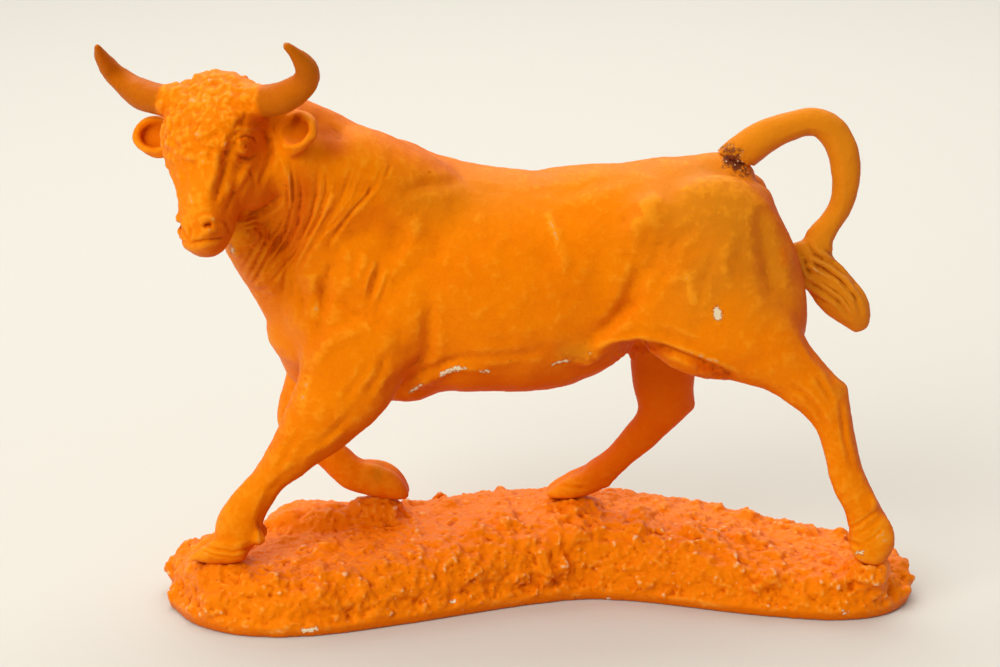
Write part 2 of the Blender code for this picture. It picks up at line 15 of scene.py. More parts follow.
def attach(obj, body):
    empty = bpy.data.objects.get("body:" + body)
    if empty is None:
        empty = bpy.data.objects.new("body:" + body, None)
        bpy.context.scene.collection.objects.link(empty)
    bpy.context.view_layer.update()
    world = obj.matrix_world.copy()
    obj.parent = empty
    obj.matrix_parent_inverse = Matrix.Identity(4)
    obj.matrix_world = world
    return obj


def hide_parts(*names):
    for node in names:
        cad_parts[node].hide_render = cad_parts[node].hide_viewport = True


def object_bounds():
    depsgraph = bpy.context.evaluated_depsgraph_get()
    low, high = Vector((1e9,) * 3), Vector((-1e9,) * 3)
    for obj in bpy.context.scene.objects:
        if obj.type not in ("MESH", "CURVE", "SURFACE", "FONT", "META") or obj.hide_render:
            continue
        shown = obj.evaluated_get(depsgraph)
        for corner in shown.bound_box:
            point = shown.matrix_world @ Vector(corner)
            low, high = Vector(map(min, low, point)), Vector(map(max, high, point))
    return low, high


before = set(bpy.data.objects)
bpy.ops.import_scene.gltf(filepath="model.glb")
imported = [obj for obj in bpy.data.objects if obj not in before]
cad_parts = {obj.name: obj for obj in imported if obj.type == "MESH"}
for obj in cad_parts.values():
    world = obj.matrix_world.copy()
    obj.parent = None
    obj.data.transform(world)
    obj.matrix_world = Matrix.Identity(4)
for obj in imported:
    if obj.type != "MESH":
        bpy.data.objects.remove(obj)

CAD_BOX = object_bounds()
MM = 0.001
LOG = logging.getLogger("bull")

# The viewpoint the piece is shown from, in metres and degrees, and the sheet that its marks are drawn on
SHEET_SQUARE = 0.6 * MM
SHEET_WIDTH = 1000.0
SHEET_CENTRE = (500.0, 333.5)
SENSOR_WIDTH = 36.0
EYE_DISTANCE = 1.350
EYE_HEIGHT_ANGLE = math.radians(16.0)
EYE_TARGET = Vector((-0.01233, 0.00651, 0.1640))
# Roughly the way the key lamp lies: painted shade goes on surfaces turned away from it
KEY_LIGHT_SIDE = Vector((-0.62, -0.58, 0.53))
SIDES = (-1.0, 1.0)


def linear(red: int, green: int, blue: int) -> tuple[float, float, float, float]:
    """A display colour of 0 to 255 as a linear RGBA colour."""
    levels = (red, green, blue)
    return (*(c / 255.0 / 12.92 if c < 11 else ((c / 255.0 + 0.055) / 1.055) ** 2.4 for c in levels), 1.0)


class Side(Enum):
    """Where a tool mark is cut: the near flank, the far legs seen past it, both flanks or the face."""

    NEAR = "near"
    FAR = "far"
    BOTH = "both"
    FACE = "face"


@dataclass(frozen=True)
class Stroke:
    """One mark on the skin, drawn on the sheet: a cut or ridge, or a patch of colour.

    Attributes:
        points: Squares across and down on the sheet.
        height: Millimetres it stands proud, or is cut in when negative, or how strong a patch is.
        width: Half width in millimetres.
        side: Where it is.
    """

    points: tuple[tuple[float, float], ...]
    height: float
    width: float
    side: Side = Side.BOTH


@dataclass
class Sheet:
    """The drawing sheet: what is seen from the viewpoint, in squares of 0.6 mm at the middle of the piece."""

    target: Vector = field(default_factory=EYE_TARGET.copy)

    def places(self, points: np.ndarray) -> np.ndarray:
        """Where points are seen on the sheet.

        Args:
            points: An array of points in metres.

        Returns:
            Squares across and down, a row to a point.
        """
        across, away, up = (points - np.array(self.target)).T
        c, s = math.cos(EYE_HEIGHT_ANGLE), math.sin(EYE_HEIGHT_ANGLE)
        depth = EYE_DISTANCE + away * c - up * s
        scale = EYE_DISTANCE / SHEET_SQUARE / depth
        return np.stack((SHEET_CENTRE[0] + scale * across, SHEET_CENTRE[1] - scale * (away * s + up * c)), 1)

    def camera(self) -> bpy.types.Object:
        """The camera that sees the sheet.

        Returns:
            The camera object, linked to the scene.
        """
        data = bpy.data.cameras.new("viewpoint")
        data.sensor_width = SENSOR_WIDTH
        data.lens = SENSOR_WIDTH * (EYE_DISTANCE / SHEET_SQUARE) / SHEET_WIDTH
        data.clip_end = 30.0
        made = bpy.data.objects.new("viewpoint", data)
        bpy.context.scene.collection.objects.link(made)
        back = Vector((0.0, -math.cos(EYE_HEIGHT_ANGLE), math.sin(EYE_HEIGHT_ANGLE)))
        made.location = self.target + back * EYE_DISTANCE
        made.rotation_euler = (-back).to_track_quat("-Z", "Y").to_euler()
        bpy.context.scene.camera = made
        return made


class Skin:
    """A closed mesh being modelled: its object, and its points and normals as arrays."""

    def __init__(self, made: bpy.types.Object) -> None:
        """Takes an object in hand.

        Args:
            made: A mesh object whose vertices are in metres in the part's frame.
        """
        self.object = made

    @classmethod
    def from_node(cls, node: str, name: str) -> "Skin":
        """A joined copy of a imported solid.

        Args:
            node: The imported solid's name.
            name: Name for the copy.

        Returns:
            The copy, with its loose triangles merged.
        """
        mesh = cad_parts[node].data.copy()
        mesh.materials.clear()
        body = bmesh.new()
        body.from_mesh(mesh)
        bmesh.ops.remove_doubles(body, verts=body.verts, dist=2e-6)
        bmesh.ops.recalc_face_normals(body, faces=body.faces)
        body.to_mesh(mesh)
        body.free()
        made = bpy.data.objects.new(name, mesh)
        bpy.context.scene.collection.objects.link(made)
        return cls(made)

    def apply(self) -> "Skin":
        """Turns the object's modifiers into its mesh.

        Returns:
            This skin.
        """
        bpy.context.view_layer.update()
        graph = bpy.context.evaluated_depsgraph_get()
        mesh = bpy.data.meshes.new_from_object(self.object.evaluated_get(graph))
        self.object.modifiers.clear()
        self.object.data = mesh
        return self

    def fuse(self, voxel: float, softness: float = 0.0) -> "Skin":
        """Makes one even skin round every closed shape in the mesh.

        Args:
            voxel: Fineness in millimetres.
            softness: Distance in millimetres over which the skin is then evened out.

        Returns:
            This skin.
        """
        remesh = self.object.modifiers.new("Fuse", "REMESH")
        remesh.mode = "VOXEL"
        remesh.voxel_size = voxel * MM
        if softness > 0.0:
            smooth = self.object.modifiers.new("Even", "SMOOTH")
            smooth.factor = 0.5
            smooth.iterations = max(1, round(2.0 * (softness / voxel) ** 2))
        return self.apply()

    def subdivide(self) -> "Skin":
        """Rounds the facets by one level of subdivision.

        Returns:
            This skin.
        """
        modifier = self.object.modifiers.new("Round", "SUBSURF")
        modifier.levels = modifier.render_levels = 1
        return self.apply()

    def thin(self, triangles: int) -> "Skin":
        """Thins the mesh where it is finer than it has to be.

        Args:
            triangles: About how many triangles are left.

        Returns:
            This skin.
        """
        self.object.data.calc_loop_triangles()
        count = len(self.object.data.loop_triangles)
        if count > triangles:
            modifier = self.object.modifiers.new("Thin", "DECIMATE")
            modifier.ratio = triangles / count
            self.apply()
        return self

    def add(self, body: bmesh.types.BMesh) -> "Skin":
        """Joins shapes to the mesh.

        Args:
            body: The shapes, which are freed.

        Returns:
            This skin.
        """
        body.from_mesh(self.object.data)
        body.to_mesh(self.object.data)
        body.free()
        return self

    def points(self) -> np.ndarray:
        """Where the vertices are.

        Returns:
            A row of metres to a vertex.
        """
        flat = np.empty(len(self.object.data.vertices) * 3)
        self.object.data.vertices.foreach_get("co", flat)
        return flat.reshape(-1, 3)

    def normals(self) -> np.ndarray:
        """Which way the skin faces.

        Returns:
            A row to a vertex, of unit length.
        """
        flat = np.empty(len(self.object.data.vertices) * 3, np.float32)
        self.object.data.vertex_normals.foreach_get("vector", flat)
        return flat.reshape(-1, 3).astype(float)

    def put(self, points: np.ndarray) -> "Skin":
        """Puts moved vertices back in the mesh.

        Args:
            points: A row of metres to a vertex.

        Returns:
            This skin.
        """
        self.object.data.vertices.foreach_set("co", points.ravel())
        self.object.data.update()
        return self

    def push(self, heights: np.ndarray) -> "Skin":
        """Moves each vertex along its normal by a height in millimetres."""
        return self.put(self.points() + self.normals() * (heights * MM)[:, None])

    def edges(self) -> np.ndarray:
        """The edges.

        Returns:
            A pair of vertex numbers to an edge.
        """
        flat = np.empty(len(self.object.data.edges) * 2, np.int32)
        self.object.data.edges.foreach_get("vertices", flat)
        return flat.reshape(-1, 2)

    def spread(self, values: np.ndarray, rounds: int) -> np.ndarray:
        """Averages values with their neighbours'.

        Args:
            values: A number or a row of numbers for each vertex.
            rounds: How many times to average.

        Returns:
            The averaged values.
        """
        first, second = self.edges().T
        count = np.bincount(np.concatenate((first, second)), minlength=len(values)).astype(float)
        columns = values.reshape(len(values), -1).copy()
        for _ in range(rounds):
            for column in range(columns.shape[1]):
                value = columns[:, column]
                total = np.bincount(first, value[second], len(value))
                total += np.bincount(second, value[first], len(value))
                columns[:, column] = 0.5 * value + 0.5 * total / np.maximum(count, 1.0)
        return columns.reshape(values.shape)

    def relief(self, rounds: int) -> np.ndarray:
        """How far each vertex stands proud of its surroundings, in millimetres."""
        points = self.points()
        return ((points - self.spread(points, rounds)) * self.normals()).sum(1) / MM

    def mark(self, name: str, values: np.ndarray) -> "Skin":
        """Stores numbers for the finish to read.

        Args:
            name: The attribute's name.
            values: A number for each vertex.

        Returns:
            This skin.
        """
        attribute = self.object.data.attributes.new(name, "FLOAT", "POINT")
        attribute.data.foreach_set("value", values.astype(np.float32))
        return self

    def leave(self, *names: str) -> None:
        """Stores nought where the piece has nothing of what the finish reads."""
        for name in names:
            self.mark(name, np.zeros(len(self.object.data.vertices)))

    def carve(self, sheet: Sheet, strokes: Sequence[Stroke], middle: float) -> "Skin":
        """Cuts and raises tool marks.

        Args:
            sheet: The sheet that the marks are drawn on.
            strokes: The marks.
            middle: Y of the plane between the two flanks, in metres.

        Returns:
            This skin.
        """
        points, normals = self.points(), self.normals()
        mirrored = points.copy()
        mirrored[:, 1] = 2.0 * middle - mirrored[:, 1]
        near_places, far_places = sheet.places(points), sheet.places(mirrored)
        in_face = FACE.inside(points)
        on_near_half = in_face[:, 0] > FACE.middle_line(in_face)
        face_places = np.where(on_near_half[:, None], near_places, sheet.places(FACE.mirrored(points)))
        near_facing, far_facing = (smoothstep(way * normals[:, 1], -0.15, 0.25) for way in SIDES)
        near_seen = near_facing * smoothstep(middle + OVERLAP - points[:, 1], 0.0, FADE)
        far_seen = far_facing * smoothstep(points[:, 1] - middle + OVERLAP, 0.0, FADE)
        far_leg_seen = near_facing * smoothstep(points[:, 1] - middle, 0.0, FADE)
        ways = {
            Side.NEAR: ((near_places, near_seen),),
            Side.FAR: ((near_places, far_leg_seen),),
            Side.BOTH: ((near_places, near_seen), (far_places, far_seen)),
            Side.FACE: ((face_places, FACE.cover(in_face)),),
        }
        heights = np.zeros(len(points))
        for stroke in strokes:
            for places, seen in ways[stroke.side]:
                heights += stroke_heights(places, stroke) * seen
        return self.push(heights)

    def patch_strength(self, sheet: Sheet, strokes: Sequence[Stroke], limit: float = 1.0) -> np.ndarray:
        """How strongly patches cover each vertex that faces the viewpoint.

        Args:
            sheet: The sheet that the patches are drawn on.
            strokes: The patches.
            limit: Y in metres beyond which nothing is covered.

        Returns:
            A number from 0 to the strongest patch's strength for each vertex.
        """
        points, normals = self.points(), self.normals()
        seen = smoothstep(-normals[:, 1], -0.25, 0.15) * smoothstep(limit - points[:, 1], 0.0, FADE)
        places = sheet.places(points)
        cover = np.zeros(len(points))
        for stroke in strokes:
            cover = np.maximum(cover, stroke_heights(places, stroke))
        return cover * seen

    def turned_from_light(self) -> np.ndarray:
        """How far each vertex faces away from the key light, whichever its flank: where painted shade goes.

        Returns:
            A share of 0 to 1 for each vertex, evened over its surroundings.
        """
        normals = self.normals()
        normals[:, 1] = -np.abs(normals[:, 1])
        facing = normals @ np.array(KEY_LIGHT_SIDE)
        return self.spread(smoothstep(facing, 0.55, -0.25), 6)

    def keep_in(self, box: Sequence[Sequence[float]]) -> "Skin":
        """Holds the vertices inside a box."""
        low, high = (np.array(corner) for corner in box)
        return self.put(np.clip(self.points(), low, high))

    def lumps(self, scale: float, seed: float = 0.0) -> np.ndarray:
        """Uneven values over the skin.

        Args:
            scale: Lumps to the metre.
            seed: Shifts the pattern.

        Returns:
            A value of about -1 to 1 for each vertex.
        """
        shift = Vector((seed, seed, seed))
        return np.array([noise.noise(Vector(p) * scale + shift) for p in self.points()])

    def roughen(self, size: float, height: float, seed: float, where: np.ndarray | float = 1.0) -> "Skin":
        """Gives the skin low uneven relief.

        Args:
            size: Size of the unevenness in millimetres.
            height: Its height in millimetres.
            seed: Shifts the pattern.
            where: Share of the height, for each vertex or for all.

        Returns:
            This skin.
        """
        return self.push(self.lumps(1.0 / (size * MM), seed) * height * where)

    def finish(self, name: str, material: bpy.types.Material, node: str) -> bpy.types.Object:
        """Names the piece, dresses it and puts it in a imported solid's place.

        Args:
            name: The piece's name.
            material: Its finish.
            node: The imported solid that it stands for.

        Returns:
            The finished object.
        """
        made = self.object
        made.name = made.data.name = name
        made.data.materials.clear()
        made.data.materials.append(material)
        made.data.polygons.foreach_set("use_smooth", [True] * len(made.data.polygons))
        made.data.polygons.foreach_set("material_index", [0] * len(made.data.polygons))
        made.data.update()
        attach(made, "root")
        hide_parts(node)
        LOG.info("%s: %d faces", name, len(made.data.polygons))
        return made


def smoothstep(values: np.ndarray, low: float, high: float) -> np.ndarray:
    """Values brought to 0 below low and 1 above high, with a smooth rise between."""
    share = np.clip((values - low) / (high - low), 0.0, 1.0)
    return share * share * (3.0 - 2.0 * share)


# How far past the middle plane a flank's marks reach, and over what distance they fade out, in metres
OVERLAP = 6 * MM
FADE = 5 * MM


def stroke_heights(places: np.ndarray, stroke: Stroke) -> np.ndarray:
    """How far one tool mark moves each place on the sheet.

    Args:
        places: Squares across and down, a row to a vertex.
        stroke: The mark.

    Returns:
        Heights in millimetres.
    """
    path = np.array(stroke.points)
    reach = stroke.width * MM / SHEET_SQUARE
    heights = np.zeros(len(places))
    low, high = path.min(0) - 3.0 * reach, path.max(0) + 3.0 * reach
    near = np.nonzero(((places > low) & (places < high)).all(1))[0]
    if len(near) == 0:
        return heights
    chosen = places[near]
    steps = np.linalg.norm(np.diff(path, axis=0), axis=1)
    run = np.concatenate(([0.0], np.cumsum(steps)))
    best = np.full(len(chosen), 1e9)
    along = np.zeros(len(chosen))
    for index, (start, end) in enumerate(zip(path, path[1:])):
        line = end - start
        share = np.clip(((chosen - start) @ line) / max(line @ line, 1e-9), 0.0, 1.0)
        distance = np.linalg.norm(chosen - start - share[:, None] * line, axis=1)
        closer = distance < best
        best = np.where(closer, distance, best)
        along = np.where(closer, (run[index] + share * steps[index]) / max(run[-1], 1e-9), along)
    taper = np.clip(np.minimum(along, 1.0 - along) * 4.0, 0.0, 1.0) ** 0.6
    profile = np.exp(-((best / reach) ** 2))
    lips = 0.28 * np.exp(-(((best - 1.9 * reach) / (0.8 * reach)) ** 2)) if stroke.height < 0 else 0.0
    heights[near] = stroke.height * taper * (profile - lips)
    return heights


@dataclass
class Wiring:
    """A node tree being put together, of shading or of geometry."""

    tree: bpy.types.NodeTree

    def add(self, kind: str, inputs: dict | None = None, **settings: object) -> bpy.types.Node:
        """Adds a node.

        Args:
            kind: Blender's name for the kind of node.
            inputs: Sockets to join or values to set, by the input's name or number.
            settings: The node's own settings.

        Returns:
            The node.
        """
        node = self.tree.nodes.new(kind)
        for name, value in settings.items():
            setattr(node, name, value)
        for name, value in (inputs or {}).items():
            if isinstance(value, bpy.types.NodeSocket):
                self.tree.links.new(value, node.inputs[name])
            else:
                node.inputs[name].default_value = value
        return node

    def maths(self, operation: str, *values: object, clamp: bool = False) -> bpy.types.NodeSocket:
        """The result of a sum on numbers or sockets."""
        node = self.add("ShaderNodeMath", dict(enumerate(values)), operation=operation, use_clamp=clamp)
        return node.outputs[0]

    def blend(self, share: object, first: object, second: object) -> bpy.types.NodeSocket:
        """A colour between two, by a share of the second."""
        node = self.add("ShaderNodeMix", {0: share, 6: first, 7: second}, data_type="RGBA")
        return node.outputs[2]

    def cover(self, share: object, strength: object, under: object, over: object) -> bpy.types.NodeSocket:
        """A colour with another over it, by a share brought down to a strength."""
        return self.blend(self.maths("MULTIPLY", share, strength), under, over)

    def ragged(self, name: str, fine: bpy.types.NodeSocket, amount: float) -> bpy.types.NodeSocket:
        """The number that a piece's vertices hold under a name, broken up by a fine pattern."""
        return self.maths("MULTIPLY_ADD", self.maths("SUBTRACT", fine, 0.5), amount, self.attribute(name))

    def ramp(
        self, value: object, low: float, high: float, start: float = 0.0, end: float = 1.0
    ) -> bpy.types.NodeSocket:
        """A number carried from one range to another with a smooth rise and held at its ends."""
        inputs = {0: value, 1: low, 2: high, 3: start, 4: end}
        return self.add("ShaderNodeMapRange", inputs, interpolation_type="SMOOTHSTEP").outputs[0]

    def noise(self, place: object, scale: object, detail: float, roughness: float) -> bpy.types.NodeSocket:
        """Uneven values of 0 to 1 at a scale in lumps to the metre."""
        inputs = {"Vector": place, "Scale": scale, "Detail": detail, "Roughness": roughness}
        return self.add("ShaderNodeTexNoise", inputs).outputs[0]

    def attribute(self, name: str) -> bpy.types.NodeSocket:
        """The number that a piece's vertices hold under a name."""
        return self.add("ShaderNodeAttribute", attribute_name=name).outputs["Fac"]


@dataclass(frozen=True)
class ShadeGroup:
    """A shading effect used by several finishes.

    Attributes:
        name: The group's name.
        inputs: Names of its number inputs, with their usual values.
        outputs: Names of its number outputs.
        wire: Joins the group up, given its wiring, place and inputs, and gives its outputs' sockets.
    """

    name: str
    inputs: dict[str, float]
    outputs: tuple[str, ...]
    wire: Callable[[Wiring, bpy.types.NodeSocket, dict[str, bpy.types.NodeSocket]], tuple]

    def tree(self) -> bpy.types.NodeTree:
        """The group's node tree, built the first time it is asked for.

        Returns:
            The tree.
        """
        if self.name in bpy.data.node_groups:
            return bpy.data.node_groups[self.name]
        made = bpy.data.node_groups.new(self.name, "ShaderNodeTree")
        made.interface.new_socket(name="Place", in_out="INPUT", socket_type="NodeSocketVector")
        for name, value in self.inputs.items():
            socket = made.interface.new_socket(name=name, in_out="INPUT", socket_type="NodeSocketFloat")
            socket.default_value = value
        for name in self.outputs:
            made.interface.new_socket(name=name, in_out="OUTPUT", socket_type="NodeSocketFloat")
        wiring = Wiring(made)
        start, end = wiring.add("NodeGroupInput"), wiring.add("NodeGroupOutput")
        given = {name: start.outputs[name] for name in self.inputs}
        results = self.wire(wiring, start.outputs["Place"], given)
        for name, socket in zip(self.outputs, results):
            made.links.new(socket, end.inputs[name])
        return made

    def place(self, wiring: Wiring, place: bpy.types.NodeSocket, **values: object) -> bpy.types.Node:
        """Puts the group in a material.

        Args:
            wiring: The material's wiring.
            place: Where on the piece the pattern is read.
            values: Numbers or sockets for the group's inputs.

        Returns:
            The group's node.
        """
        node = wiring.add("ShaderNodeGroup", node_tree=self.tree())
        for name, value in {"Place": place, **{n.replace("_", " "): v for n, v in values.items()}}.items():
            if isinstance(value, bpy.types.NodeSocket):
                wiring.tree.links.new(value, node.inputs[name])
            else:
                node.inputs[name].default_value = value
        return node


def wire_mottle(wiring: Wiring, place: bpy.types.NodeSocket, values: dict) -> tuple:
    """Broad and fine unevenness of brushed paint.

    Args:
        wiring: The group's wiring.
        place: Where the pattern is read.
        values: The group's inputs.

    Returns:
        Sockets for Broad and Fine.
    """
    broad = wiring.noise(place, values["Broad Scale"], 3.0, 0.55)
    fine = wiring.noise(place, values["Fine Scale"], 5.0, 0.7)
    return wiring.ramp(broad, 0.38, 0.66), wiring.ramp(fine, 0.36, 0.68)


def wire_wear_and_shade(wiring: Wiring, place: bpy.types.NodeSocket, values: dict) -> tuple:
    """What rubbing leaves, and the painted shade in the hollows, from how far the surface stands proud.

    Args:
        wiring: The group's wiring.
        place: Where the pattern is read.
        values: The group's inputs.

    Returns:
        Sockets for Rubbed, Bare and HollowShade, the painted shade in the hollows.
    """
    patchy = wiring.noise(place, values["Scale"], 5.0, 0.65)
    uneven = wiring.maths("SUBTRACT", patchy, 0.5)
    proud = wiring.maths("MULTIPLY_ADD", uneven, values["Breakup"], values["Proud"])
    rubbed = wiring.ramp(proud, 0.10, 0.85)
    bare = wiring.ramp(wiring.maths("SUBTRACT", proud, values["Hold"]), 0.0, 0.30)
    # Painted shade in the hollows, from how far the surface is sunk
    sunk = wiring.maths("MULTIPLY_ADD", uneven, 0.12, wiring.maths("MULTIPLY", values["Proud"], -1.0))
    return rubbed, bare, wiring.ramp(sunk, 0.10, 1.1)


def wire_specks(wiring: Wiring, place: bpy.types.NodeSocket, values: dict) -> tuple:
    """Scattered specks.

    Args:
        wiring: The group's wiring.
        place: Where the pattern is read.
        values: The group's inputs.

    Returns:
        Sockets for Specks.
    """
    cells = wiring.add("ShaderNodeTexVoronoi", {"Vector": place, "Scale": values["Scale"], "Randomness": 1.0})
    chosen = wiring.add("ShaderNodeSeparateColor", {0: cells.outputs["Color"]}).outputs[0]
    share = wiring.maths("LESS_THAN", chosen, values["Share"])
    round_spot = wiring.ramp(cells.outputs["Distance"], 0.16, 0.34, 1.0, 0.0)
    return (wiring.maths("MULTIPLY", share, round_spot),)


def wire_grain(wiring: Wiring, place: bpy.types.NodeSocket, values: dict) -> tuple:
    """Fine relief of paint over sand-cast metal.

    Args:
        wiring: The group's wiring.
        place: Where the pattern is read.
        values: The group's inputs.

    Returns:
        Sockets for Height.
    """
    coarse = wiring.noise(place, values["Coarse Scale"], 4.0, 0.6)
    fine = wiring.noise(place, values["Fine Scale"], 3.0, 0.6)
    return (wiring.maths("MULTIPLY_ADD", fine, 0.4, coarse),)


MOTTLE = ShadeGroup("Mottle", {"Broad Scale": 34.0, "Fine Scale": 420.0}, ("Broad", "Fine"), wire_mottle)
WEAR_AND_SHADE = ShadeGroup(
    "WearAndShade",
    {"Proud": 0.0, "Scale": 240.0, "Breakup": 0.45, "Hold": 0.9},
    ("Rubbed", "Bare", "HollowShade"),
    wire_wear_and_shade,
)
SPECKS = ShadeGroup("Specks", {"Scale": 300.0, "Share": 0.1}, ("Specks",), wire_specks)
GRAIN = ShadeGroup("Grain", {"Coarse Scale": 620.0, "Fine Scale": 1800.0}, ("Height",), wire_grain)


# How strongly each layer of a finish covers what is under it
BROAD_COVER = 0.25
FINE_COVER = 0.16
RUBBED_COVER = 0.5
SHADED_COVER = 0.85
SPECK_COVER = 0.55
PALE_SPECK_COVER = 0.5
CHIP_RIM_COVER = 0.6
DUST_COVER = 0.8
SHEEN_LEVEL = 0.30


@dataclass(frozen=True)
class PaintFinish:
    """Old orange paint over cast metal.

    Attributes:
        name: The material's name.
        body: Colour of the sound paint.
        deep: Colour of its darker patches.
        rubbed: Colour where it is rubbed thin.
        bare: Colour where metal or undercoat shows.
        hollow_shade_and_dirt: Colour of the painted shade in the hollows, and of the dark specks and the rims
            of chips.
        aged: Colour where an ochre tone lies over it.
        shaded: Colour of the painted shade on the side away from the light.
        horn: Colour of the horns.
        roughness: How matte it is.
        bare_hold: How proud a place has to stand to be bare.
        bare_share: How much of the paint is gone there.
        hollow_shade_share: How dark the painted shade in the hollows is on the lit side.
        speck_share: Share of the surface's cells with a dark speck.
        pale_share: Share of them with a pale one.
        grain: Depth of its fine relief in millimetres.
    """

    name: str
    body: tuple[float, ...]
    deep: tuple[float, ...]
    rubbed: tuple[float, ...]
    bare: tuple[float, ...]
    hollow_shade_and_dirt: tuple[float, ...]
    aged: tuple[float, ...]
    shaded: tuple[float, ...]
    horn: tuple[float, ...] = linear(186, 92, 4)
    roughness: float = 0.55
    bare_hold: float = 1.2
    bare_share: float = 0.6
    hollow_shade_share: float = 0.22
    speck_share: float = 0.0
    pale_share: float = 0.0
    grain: float = 0.45

    def material(self) -> bpy.types.Material:
        """The finish as a material that reads the piece's own attributes.

        Returns:
            The material.
        """
        made = bpy.data.materials.new(self.name)
        made.use_nodes = True
        wiring = Wiring(made.node_tree)
        shader = made.node_tree.nodes["Principled BSDF"]
        place = wiring.add("ShaderNodeTexCoord").outputs["Object"]
        mottle = MOTTLE.place(wiring, place)
        wear_and_shade = WEAR_AND_SHADE.place(wiring, place, Proud=wiring.attribute("proud"), Hold=self.bare_hold)
        specks = SPECKS.place(wiring, place, Share=self.speck_share).outputs["Specks"]
        pale_specks = SPECKS.place(wiring, place, Share=self.pale_share, Scale=430.0).outputs["Specks"]
        pale_dust = SPECKS.place(wiring, place, Share=0.35, Scale=620.0).outputs["Specks"]
        fine = mottle.outputs["Fine"]
        colour = wiring.cover(mottle.outputs["Broad"], BROAD_COVER, self.body, self.deep)
        colour = wiring.cover(fine, FINE_COVER, colour, self.deep)
        uneven = wiring.maths("MULTIPLY_ADD", fine, 0.12, 0.85)
        colour = wiring.cover(wiring.attribute("aged"), uneven, colour, self.aged)
        colour = wiring.cover(wear_and_shade.outputs["Rubbed"], RUBBED_COVER, colour, self.rubbed)
        # Painted shade, where the shaded attribute says: mostly the side turned from the key light
        colour = wiring.cover(wiring.attribute("shaded"), SHADED_COVER, colour, self.shaded)
        uneven = wiring.maths("MULTIPLY_ADD", fine, 0.08, 0.9)
        colour = wiring.cover(wiring.attribute("horn"), uneven, colour, self.horn)
        # Painted shade in the hollows, stronger on the side turned from the light
        hollow_shade_strength = wiring.maths("MULTIPLY_ADD", wiring.attribute("shaded"), 0.6, self.hollow_shade_share, clamp=True)
        colour = wiring.cover(wear_and_shade.outputs["HollowShade"], hollow_shade_strength, colour, self.hollow_shade_and_dirt)
        colour = wiring.cover(specks, SPECK_COVER, colour, self.hollow_shade_and_dirt)
        spotted = wiring.maths("MULTIPLY", pale_specks, PALE_SPECK_COVER)
        bare = wiring.maths("MAXIMUM", wear_and_shade.outputs["Bare"], spotted)
        colour = wiring.cover(bare, self.bare_share, colour, self.bare)
        chip = wiring.ragged("chip", fine, 0.5)
        colour = wiring.cover(wiring.ramp(chip, 0.25, 0.5), CHIP_RIM_COVER, colour, self.hollow_shade_and_dirt)
        colour = wiring.blend(wiring.ramp(chip, 0.42, 0.62), colour, CHIP_COLOUR)
        resin = wiring.ramp(wiring.ragged("resin", fine, 0.7), 0.25, 0.95)
        crust = wiring.blend(fine, RESIN_COLOUR, RESIN_LIGHT)
        colour = wiring.blend(resin, colour, wiring.cover(pale_dust, DUST_COVER, crust, CHIP_COLOUR))
        made.node_tree.links.new(colour, shader.inputs["Base Color"])
        rough = wiring.maths("MULTIPLY_ADD", fine, 0.12, self.roughness - 0.06)
        rough = wiring.maths("MULTIPLY_ADD", resin, -0.28, rough)
        made.node_tree.links.new(rough, shader.inputs["Roughness"])
        height = GRAIN.place(wiring, place).outputs["Height"]
        bump = wiring.add("ShaderNodeBump", {"Strength": 0.6, "Distance": self.grain * MM, "Height": height})
        made.node_tree.links.new(bump.outputs["Normal"], shader.inputs["Normal"])
        shader.inputs["Specular IOR Level"].default_value = SHEEN_LEVEL
        shader.inputs["Specular Tint"].default_value = SHEEN_COLOUR
        return made


SHEEN_COLOUR = linear(255, 176, 60)
CHIP_COLOUR = linear(232, 214, 178)
RESIN_COLOUR = linear(74, 26, 16)
RESIN_LIGHT = linear(132, 62, 34)

BULL_PAINT = PaintFinish(
    "bull_paint",
    body=linear(242, 128, 0),
    deep=linear(224, 100, 0),
    rubbed=linear(250, 158, 30),
    bare=linear(218, 164, 112),
    hollow_shade_and_dirt=linear(150, 40, 0),
    aged=linear(206, 122, 20),
    shaded=linear(202, 72, 0),
)
TAIL_PAINT = PaintFinish(
    "tail_paint",
    body=linear(220, 130, 20),
    deep=linear(206, 110, 12),
    rubbed=linear(234, 156, 52),
    bare=linear(226, 196, 156),
    hollow_shade_and_dirt=linear(146, 54, 4),
    aged=linear(206, 120, 24),
    shaded=linear(206, 98, 6),
    bare_hold=1.2,
    hollow_shade_share=0.75,
)
SOIL_PAINT = PaintFinish(
    "soil_paint",
    body=linear(243, 126, 4),
    deep=linear(230, 104, 0),
    rubbed=linear(255, 168, 58),
    bare=linear(240, 188, 146),
    hollow_shade_and_dirt=linear(184, 66, 0),
    aged=linear(214, 100, 4),
    shaded=linear(220, 92, 0),
    roughness=0.42,
    bare_hold=0.72,
    bare_share=0.7,
    hollow_shade_share=0.8,
    speck_share=0.04,
    pale_share=0.04,
)


